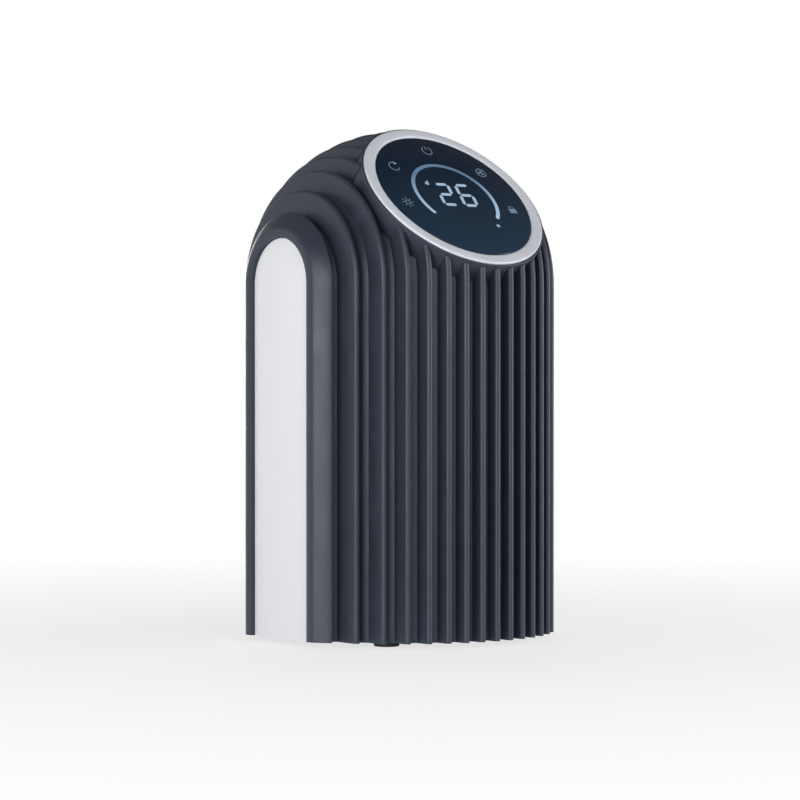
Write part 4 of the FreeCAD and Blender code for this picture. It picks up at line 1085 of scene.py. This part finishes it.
def wear_edge_highlight_dust(tree, colour, worn_and_lit, wear_and_highlight, dust):
    """Wear with a painted highlight on sharp edges, and dust, placed in a material over a varying colour."""
    inputs = [("Color", COLOUR, (0.5, 0.5, 0.5, 1)), ("Worn And Lit Edge Color", COLOUR, (0.7, 0.7, 0.7, 1)),
              ("Dust Color", COLOUR, (0.3, 0.3, 0.3, 1)), ("Wear And Edge Highlight", NUMBER, 0.3), ("Dust", NUMBER, 0.2)]
    values = {"Color": colour, "Worn And Lit Edge Color": (*worn_and_lit, 1), "Wear And Edge Highlight": wear_and_highlight, "Dust": dust,
              "Dust Color": (*chosen().body.dust, 1)}
    return effect(tree, "Wear, painted edge highlight and dust", fill_wear_edge_highlight_dust, [("Color", COLOUR)], inputs, values)["Color"]


def moulded(name, colour, roughness, depth, scale=2400.0, wear_and_highlight=0.35, dust=0.25, gloss=0.5,
            sheen=(1.0, 1.0, 1.0)):
    """Moulded plastic: fine grain, soft mottling, rubbed edges that are partly a painted highlight, and a
    little dust.
    """
    material, tree, shader = finish_named(name)
    if tree:
        mottle, height = grain(tree, scale)
        base = mixed(tree, mottle, shade(colour, 0.88), shade(colour, 1.12))
        # edges 1.7 times lighter: partly wear, partly a painted highlight along the edges
        surface(tree, shader, wear_edge_highlight_dust(tree, base, shade(colour, 1.7), wear_and_highlight, dust),
                ranged(tree, mottle, roughness - 0.06, roughness + 0.07), height, 0.35 * depth, 0.00008)
        shader.inputs["Specular IOR Level"].default_value = gloss
        shader.inputs["Specular Tint"].default_value = (*sheen, 1.0)
    return material


def body_plastic():
    """Satin dark blue-grey plastic of the shells."""
    colour = chosen().body.plastic
    # its lighter edges are partly a painted highlight along the fin tips
    return moulded("satin_body_plastic", colour, 0.40, 0.8, wear_and_highlight=0.5, dust=0.12, gloss=0.42,
                   sheen=(0.84, 0.91, 1.0))


def rubber_finish():
    """Matt rubber with a coarse texture."""
    colour = chosen().inside.rubber
    return moulded("foot_rubber", colour, 0.78, 1.6, scale=1500.0, wear_and_highlight=0.3, dust=0.1)


def white_lacquer():
    """Satin white lacquer with a faint orange peel."""
    colour = chosen().panels.lacquer
    material, tree, shader = finish_named("white_lacquer")
    if tree:
        mottle, height = grain(tree, 520.0)
        base = mixed(tree, mottle, shade(colour, 0.975), shade(colour, 1.0))
        surface(tree, shader, wear_edge_highlight_dust(tree, base, shade(colour, 0.8), 0.15, 0.12),
                ranged(tree, mottle, 0.30, 0.38), height, 0.10, 0.0001)
        shader.inputs["Coat Weight"].default_value = 0.15
        shader.inputs["Coat Roughness"].default_value = 0.25
    return material


def fill_brushing(tree, source, sink):
    """Fine brushing as stretched noise, and faint smudges."""
    point = object_point(tree)
    stretched = add(tree, "ShaderNodeMapping", {"Vector": point, "Scale": (60.0, 60.0, 2600.0)})
    lines = add(tree, "ShaderNodeTexNoise", {"Vector": stretched.outputs[0], "Scale": 1.0, "Detail": 4.0})
    smudge = add(tree, "ShaderNodeTexNoise", {"Vector": point, "Scale": 55.0, "Detail": 3.0})
    tree.links.new(lines.outputs[0], sink["Lines"])
    tree.links.new(smudge.outputs[0], sink["Smudge"])


def brushed(name, colour, roughness, metallic=1.0):
    """Brushed metal with faint smudges."""
    material, tree, shader = finish_named(name)
    if tree:
        brushing = effect(tree, "Brushed metal", fill_brushing, [("Lines", NUMBER), ("Smudge", NUMBER)])
        lines, smudge = brushing["Lines"], brushing["Smudge"]
        surface(tree, shader, mixed(tree, lines, shade(colour, 0.86), shade(colour, 1.08)),
                ranged(tree, smudge, roughness - 0.05, roughness + 0.1), lines, 0.12, 0.00005)
        shader.inputs["Metallic"].default_value = metallic
    return material


def silver_finish():
    """Bright satin finish of the display's ring."""
    return brushed("satin_silver", chosen().display.silver, 0.42, metallic=0.1)


def fill_head_height(tree, source, sink):
    """How far up the display's face a point lies, in metres."""
    moved = add(tree, "ShaderNodeMapping", {"Vector": object_point(tree), "Location": tuple(DOME),
                                            "Rotation": (chosen().display.tilt, 0.0, 0.0)},
                vector_type="TEXTURE")
    tree.links.new(add(tree, "ShaderNodeSeparateXYZ", {0: moved.outputs[0]}).outputs["Y"], sink["Height"])


def head_height(tree):
    """The height on the display's face placed in a material."""
    return effect(tree, "Display height", fill_head_height, [("Height", NUMBER)])["Height"]


def tinted_glass():
    """Dark cover glass whose colour is a little lighter towards its lower edge."""
    display = chosen().display
    material, tree, shader = finish_named("tinted_cover_glass")
    if tree:
        along = remapped(tree, head_height(tree), -0.055, 0.03)
        mottle, _ = grain(tree, 1800.0)
        base = mixed(tree, along, display.glass_low, display.glass_top)
        varied = mixed(tree, mottle, base, display.glass_top)
        surface(tree, shader, mixed(tree, 0.2, base, varied), ranged(tree, mottle, 0.05, 0.13))
        shader.inputs["Specular IOR Level"].default_value = 0.2
    return material


def glowing(tree, shader, glow, strength):
    """Light that comes through a smooth dark print."""
    tree.links.new(glow, shader.inputs["Emission Color"])
    shader.inputs["Emission Strength"].default_value = strength
    shader.inputs["Base Color"].default_value = (*shade(chosen().display.dim, 0.3), 1)
    shader.inputs["Roughness"].default_value = 0.2


def lit_mark(name, strength):
    """A lit mark behind the glass, uneven as its light guide is."""
    lit = chosen().display.lit
    material, tree, shader = finish_named("light_" + name)
    if tree:
        mottle, _ = grain(tree, 900.0)
        glowing(tree, shader, mixed(tree, mottle, shade(lit, 0.7), shade(lit, 1.1)), strength)
    return material


def gauge_light():
    """The gauge's light: bright towards its two lower ends, weak over the top."""
    display = chosen().display
    material, tree, shader = finish_named("light_gauge")
    if tree:
        along = remapped(tree, head_height(tree), -0.012, 0.020)
        glowing(tree, shader, mixed(tree, along, display.lit, display.dim), 0.9)
    return material


def fill_cells(tree, source, sink):
    """Small round cells."""
    noise = add(tree, "ShaderNodeTexVoronoi", {"Vector": object_point(tree), "Scale": source["Scale"]})
    tree.links.new(noise.outputs["Distance"], sink["Pattern"])


def fill_weave(tree, source, sink):
    """Two crossed waves, as threads over and under each other."""
    wave = {"Vector": object_point(tree), "Scale": source["Scale"], "Distortion": 0.6, "Detail": 1.0}
    across, along = [add(tree, "ShaderNodeTexWave", wave, bands_direction=direction).outputs[1]
                     for direction in ("X", "Z")]
    tree.links.new(combined(tree, "MULTIPLY", across, along), sink["Pattern"])


def scaled_effect(tree, name, fill, scale):
    """An effect with one scale placed in a material, for its mask and for its height."""
    placed = effect(tree, name, fill, [("Pattern", NUMBER)], [("Scale", NUMBER, 900.0)], {"Scale": scale})
    return placed["Pattern"], placed["Pattern"]


def cells(tree, scale):
    """Round cells placed in a material: mask and height."""
    return scaled_effect(tree, "Round cells", fill_cells, scale)


def weave(tree, threads):
    """Weave placed in a material: mask and height."""
    return scaled_effect(tree, "Weave", fill_weave, threads)


def traces(tree, scale):
    """Mask and height of copper traces under a lacquer."""
    bricks = add(tree, "ShaderNodeTexBrick", {"Vector": object_point(tree), "Scale": scale,
                                              "Mortar Size": 0.12})
    return bricks.outputs["Fac"], bricks.outputs["Fac"]


def patterned(name, pattern, scale, low, high, rough, strength, distance):
    """A material whose colour, roughness and bump follow one pattern."""
    material, tree, shader = finish_named(name)
    if tree:
        mask, height = pattern(tree, scale)
        surface(tree, shader, mixed(tree, mask, low, high), ranged(tree, mask, *rough), height, strength,
                distance)
    return material


def foam():
    """Closed-cell foam."""
    return patterned("seal_foam", cells, 900.0, (0.012, 0.012, 0.013), (0.035, 0.036, 0.038),
                     (0.85, 0.95), 0.8, 0.0004)


def net_nylon():
    """Nylon thread."""
    colour = chosen().inside.net
    return patterned("net_nylon", weave, 900.0, shade(colour, 0.6), shade(colour, 1.15),
                     (0.45, 0.55), 0.6, 0.0001)


def tape_fabric():
    """Woven tape."""
    colour = chosen().inside.tape
    return patterned("pull_tape", weave, 320.0, shade(colour, 0.6), shade(colour, 1.15),
                     (0.70, 0.80), 0.6, 0.0002)


def filter_paper():
    """Fibrous white paper."""
    colour = chosen().inside.paper
    return patterned("filter_paper", grain, 1400.0, shade(colour, 0.86), shade(colour, 1.0),
                     (0.82, 0.95), 0.7, 0.0003)


def carbon_felt():
    """Black felt with carbon granules."""
    colour = chosen().inside.carbon
    return patterned("carbon_felt", cells, 620.0, shade(colour, 1.9), shade(colour, 0.4),
                     (0.5, 0.9), 0.9, 0.0006)


def solder_mask():
    """Green solder mask with copper traces showing through."""
    colour = chosen().inside.board
    return patterned("solder_mask", traces, 120.0, shade(colour, 0.8), shade(colour, 1.8),
                     (0.3, 0.4), 0.3, 0.00008)


# ---- stage -------------------------------------------------------------------------------
def background_rays(tree, mirrored=1.0):
    """How far a ray shows the background: fully for the camera, and as given for gloss and glass."""
    path = add(tree, "ShaderNodeLightPath").outputs
    reflected = combined(tree, "MAXIMUM", path["Is Glossy Ray"], path["Is Transmission Ray"])
    reflected = combined(tree, "MULTIPLY", reflected, mirrored)
    return combined(tree, "MAXIMUM", path["Is Camera Ray"], reflected)


def floor_finish():
    """Pale floor that keeps the shadow near the object and runs out to plain white further off."""
    settings = chosen().stage
    material, tree, shader = finish_named("pale_floor")
    if tree:
        point = object_point(tree)
        distance = add(tree, "ShaderNodeVectorMath", {0: point}, operation="LENGTH")
        white = remapped(tree, distance.outputs["Value"], 0.2, 0.9, settings.floor_white, 1.0)
        speck = add(tree, "ShaderNodeTexNoise", {"Vector": point, "Scale": 80.0})
        colour = mixed(tree, speck.outputs[0], shade(settings.floor, 0.99), settings.floor)
        tree.links.new(colour, shader.inputs["Base Color"])
        shader.inputs["Roughness"].default_value = 0.9
        shader.inputs["Specular IOR Level"].default_value = 0.1
        glow = add(tree, "ShaderNodeEmission", {"Strength": 1.0})
        blend = add(tree, "ShaderNodeMixShader", {0: combined(tree, "MULTIPLY", background_rays(tree), white),
                                                  1: shader.outputs[0], 2: glow.outputs[0]})
        tree.links.new(blend.outputs[0], tree.nodes["Material Output"].inputs["Surface"])
    return material


def aimed(name, data, location, target):
    """A camera or lamp that stands at a place and looks at another."""
    made = bpy.data.objects.new(name, data)
    bpy.context.scene.collection.objects.link(made)
    made.location = location
    made.rotation_mode = "QUATERNION"
    made.rotation_quaternion = (Vector(target) - Vector(location)).to_track_quat("-Z", "Y")
    return made


def studio_light(world, sky):
    """An even sky, seen as plain white by the camera and, below the ceiling, in gloss and glass."""
    world.use_nodes = True
    tree = world.node_tree
    direction = add(tree, "ShaderNodeSeparateXYZ", {0: add(tree, "ShaderNodeTexCoord").outputs["Generated"]})
    walls = remapped(tree, direction.outputs["Z"], 0.05, 0.42, 1.0, 0.0)
    strength = remapped(tree, background_rays(tree, walls), 0.0, 1.0, sky, 1.0)
    background = tree.nodes["Background"]
    background.inputs["Color"].default_value = (1, 1, 1, 1)
    tree.links.new(strength, background.inputs["Strength"])


def stage():
    """Floor, camera, soft lights and an even sky."""
    settings = chosen().stage
    shape = bmesh.new()
    floor_radius = 14
    bmesh.ops.create_circle(shape, cap_ends=True, segments=64, radius=floor_radius)
    floor = raw_object("stage_floor", shape)
    floor.data.materials.append(floor_finish())
    eye, looked_at = (-1.3604, -1.7288, 0.2001), (0, 0, 0.1686)
    camera = aimed("camera", bpy.data.cameras.new("camera"), eye, looked_at)
    camera.data.lens = settings.focal_length
    camera.data.sensor_width = 36
    bpy.context.scene.camera = camera
    lit_place = (0, 0, 0.2)
    for name, location, size, watts in (
            ("left_softbox", (-2.25, -0.45, 0.25), (1.0, 1.1), settings.key_power),
            ("side_softbox", (-2.0, -1.35, 0.3), (0.6, 1.1), settings.side_power),
            ("front_softbox", (-0.6, -2.35, 0.9), (0.8, 1.1), settings.fill_power),
            ("right_softbox", (2.1, -1.5, 0.5), (0.6, 1.1), settings.right_power),
            ("back_softbox", (1.6, 2.2, 0.45), (1.4, 0.8), settings.back_power)):
        lamp = bpy.data.lights.new(name, "AREA")
        lamp.shape = "RECTANGLE"
        lamp.size, lamp.size_y = size
        lamp.energy = watts
        aimed(name, lamp, location, lit_place)
    world = bpy.data.worlds.new("studio")
    bpy.context.scene.world = world
    studio_light(world, settings.sky)
    bpy.context.scene.view_settings.view_transform = "Standard"


# ---- operators, panel and registration ---------------------------------------------------
class PURIFIER_OT_stage(bpy.types.Operator):
    """Floor, camera, lights and sky"""
    bl_idname = "purifier.stage"
    bl_label = "Stage"
    bl_options = {"REGISTER", "UNDO"}

    def execute(self, context):
        stage()
        return {"FINISHED"}


class PURIFIER_OT_shells(bpy.types.Operator):
    """Front and rear shell with grooves, outlet slots and pockets"""
    bl_idname = "purifier.shells"
    bl_label = "Ribbed shells"
    bl_options = {"REGISTER", "UNDO"}

    def execute(self, context):
        ribbed_shells()
        return {"FINISHED"}


class PURIFIER_OT_door(bpy.types.Operator):
    """Ribbed door with air slots and finger recess"""
    bl_idname = "purifier.door"
    bl_label = "Filter door"
    bl_options = {"REGISTER", "UNDO"}

    def execute(self, context):
        filter_door()
        return {"FINISHED"}


class PURIFIER_OT_panels(bpy.types.Operator):
    """White arched side panels"""
    bl_idname = "purifier.panels"
    bl_label = "Side panels"
    bl_options = {"REGISTER", "UNDO"}

    def execute(self, context):
        side_panels()
        return {"FINISHED"}


class PURIFIER_OT_head(bpy.types.Operator):
    """Dark collar, silver ring and cover glass"""
    bl_idname = "purifier.head"
    bl_label = "Control head"
    bl_options = {"REGISTER", "UNDO"}

    def execute(self, context):
        control_head()
        return {"FINISHED"}


class PURIFIER_OT_marks(bpy.types.Operator):
    """Lit figures, gauge arc, touch marks and signal dots"""
    bl_idname = "purifier.marks"
    bl_label = "Display marks"
    bl_options = {"REGISTER", "UNDO"}

    def execute(self, context):
        display_marks()
        return {"FINISHED"}


class PURIFIER_OT_feet(bpy.types.Operator):
    """Turned rubber feet"""
    bl_idname = "purifier.feet"
    bl_label = "Feet"
    bl_options = {"REGISTER", "UNDO"}

    def execute(self, context):
        rubber_feet()
        return {"FINISHED"}


class PURIFIER_OT_cartridge(bpy.types.Operator):
    """Woven net and pull tape of the cartridge"""
    bl_idname = "purifier.cartridge"
    bl_label = "Filter cartridge"
    bl_options = {"REGISTER", "UNDO"}

    def execute(self, context):
        filter_net()
        pull_ribbon()
        return {"FINISHED"}


class PURIFIER_OT_inside(bpy.types.Operator):
    """Materials of the inner pieces"""
    bl_idname = "purifier.inside"
    bl_label = "Inner finishes"
    bl_options = {"REGISTER", "UNDO"}

    def execute(self, context):
        inner_finishes()
        return {"FINISHED"}


OPERATORS = (PURIFIER_OT_stage, PURIFIER_OT_shells, PURIFIER_OT_door, PURIFIER_OT_panels, PURIFIER_OT_head,
             PURIFIER_OT_marks, PURIFIER_OT_feet, PURIFIER_OT_cartridge, PURIFIER_OT_inside)


class PURIFIER_PT_pieces(bpy.types.Panel):
    """Pieces and settings of the purifier."""
    bl_idname = "PURIFIER_PT_pieces"
    bl_label = "Air purifier"
    bl_space_type = "VIEW_3D"
    bl_region_type = "UI"
    bl_category = "Purifier"

    def draw(self, context):
        for made in OPERATORS:
            self.layout.operator(made.bl_idname)
        settings = context.scene.purifier
        for group in (settings.body, settings.panels, settings.display, settings.inside, settings.stage):
            column = self.layout.column(align=True)
            for name in group.__annotations__:
                column.prop(group, name)


CLASSES = (PurifierBody, PurifierPanels, PurifierDisplay, PurifierInside, PurifierStage, PurifierSettings,
           *OPERATORS, PURIFIER_PT_pieces)


def register():
    for made in CLASSES:
        bpy.utils.register_class(made)
    bpy.types.Scene.purifier = PointerProperty(type=PurifierSettings)


def unregister():
    del bpy.types.Scene.purifier
    for made in reversed(CLASSES):
        bpy.utils.unregister_class(made)


def main():
    """Build everything in order."""
    register()
    for made in OPERATORS:
        getattr(bpy.ops.purifier, made.bl_idname.split(".")[1])()


if __name__ == "__main__":
    main()
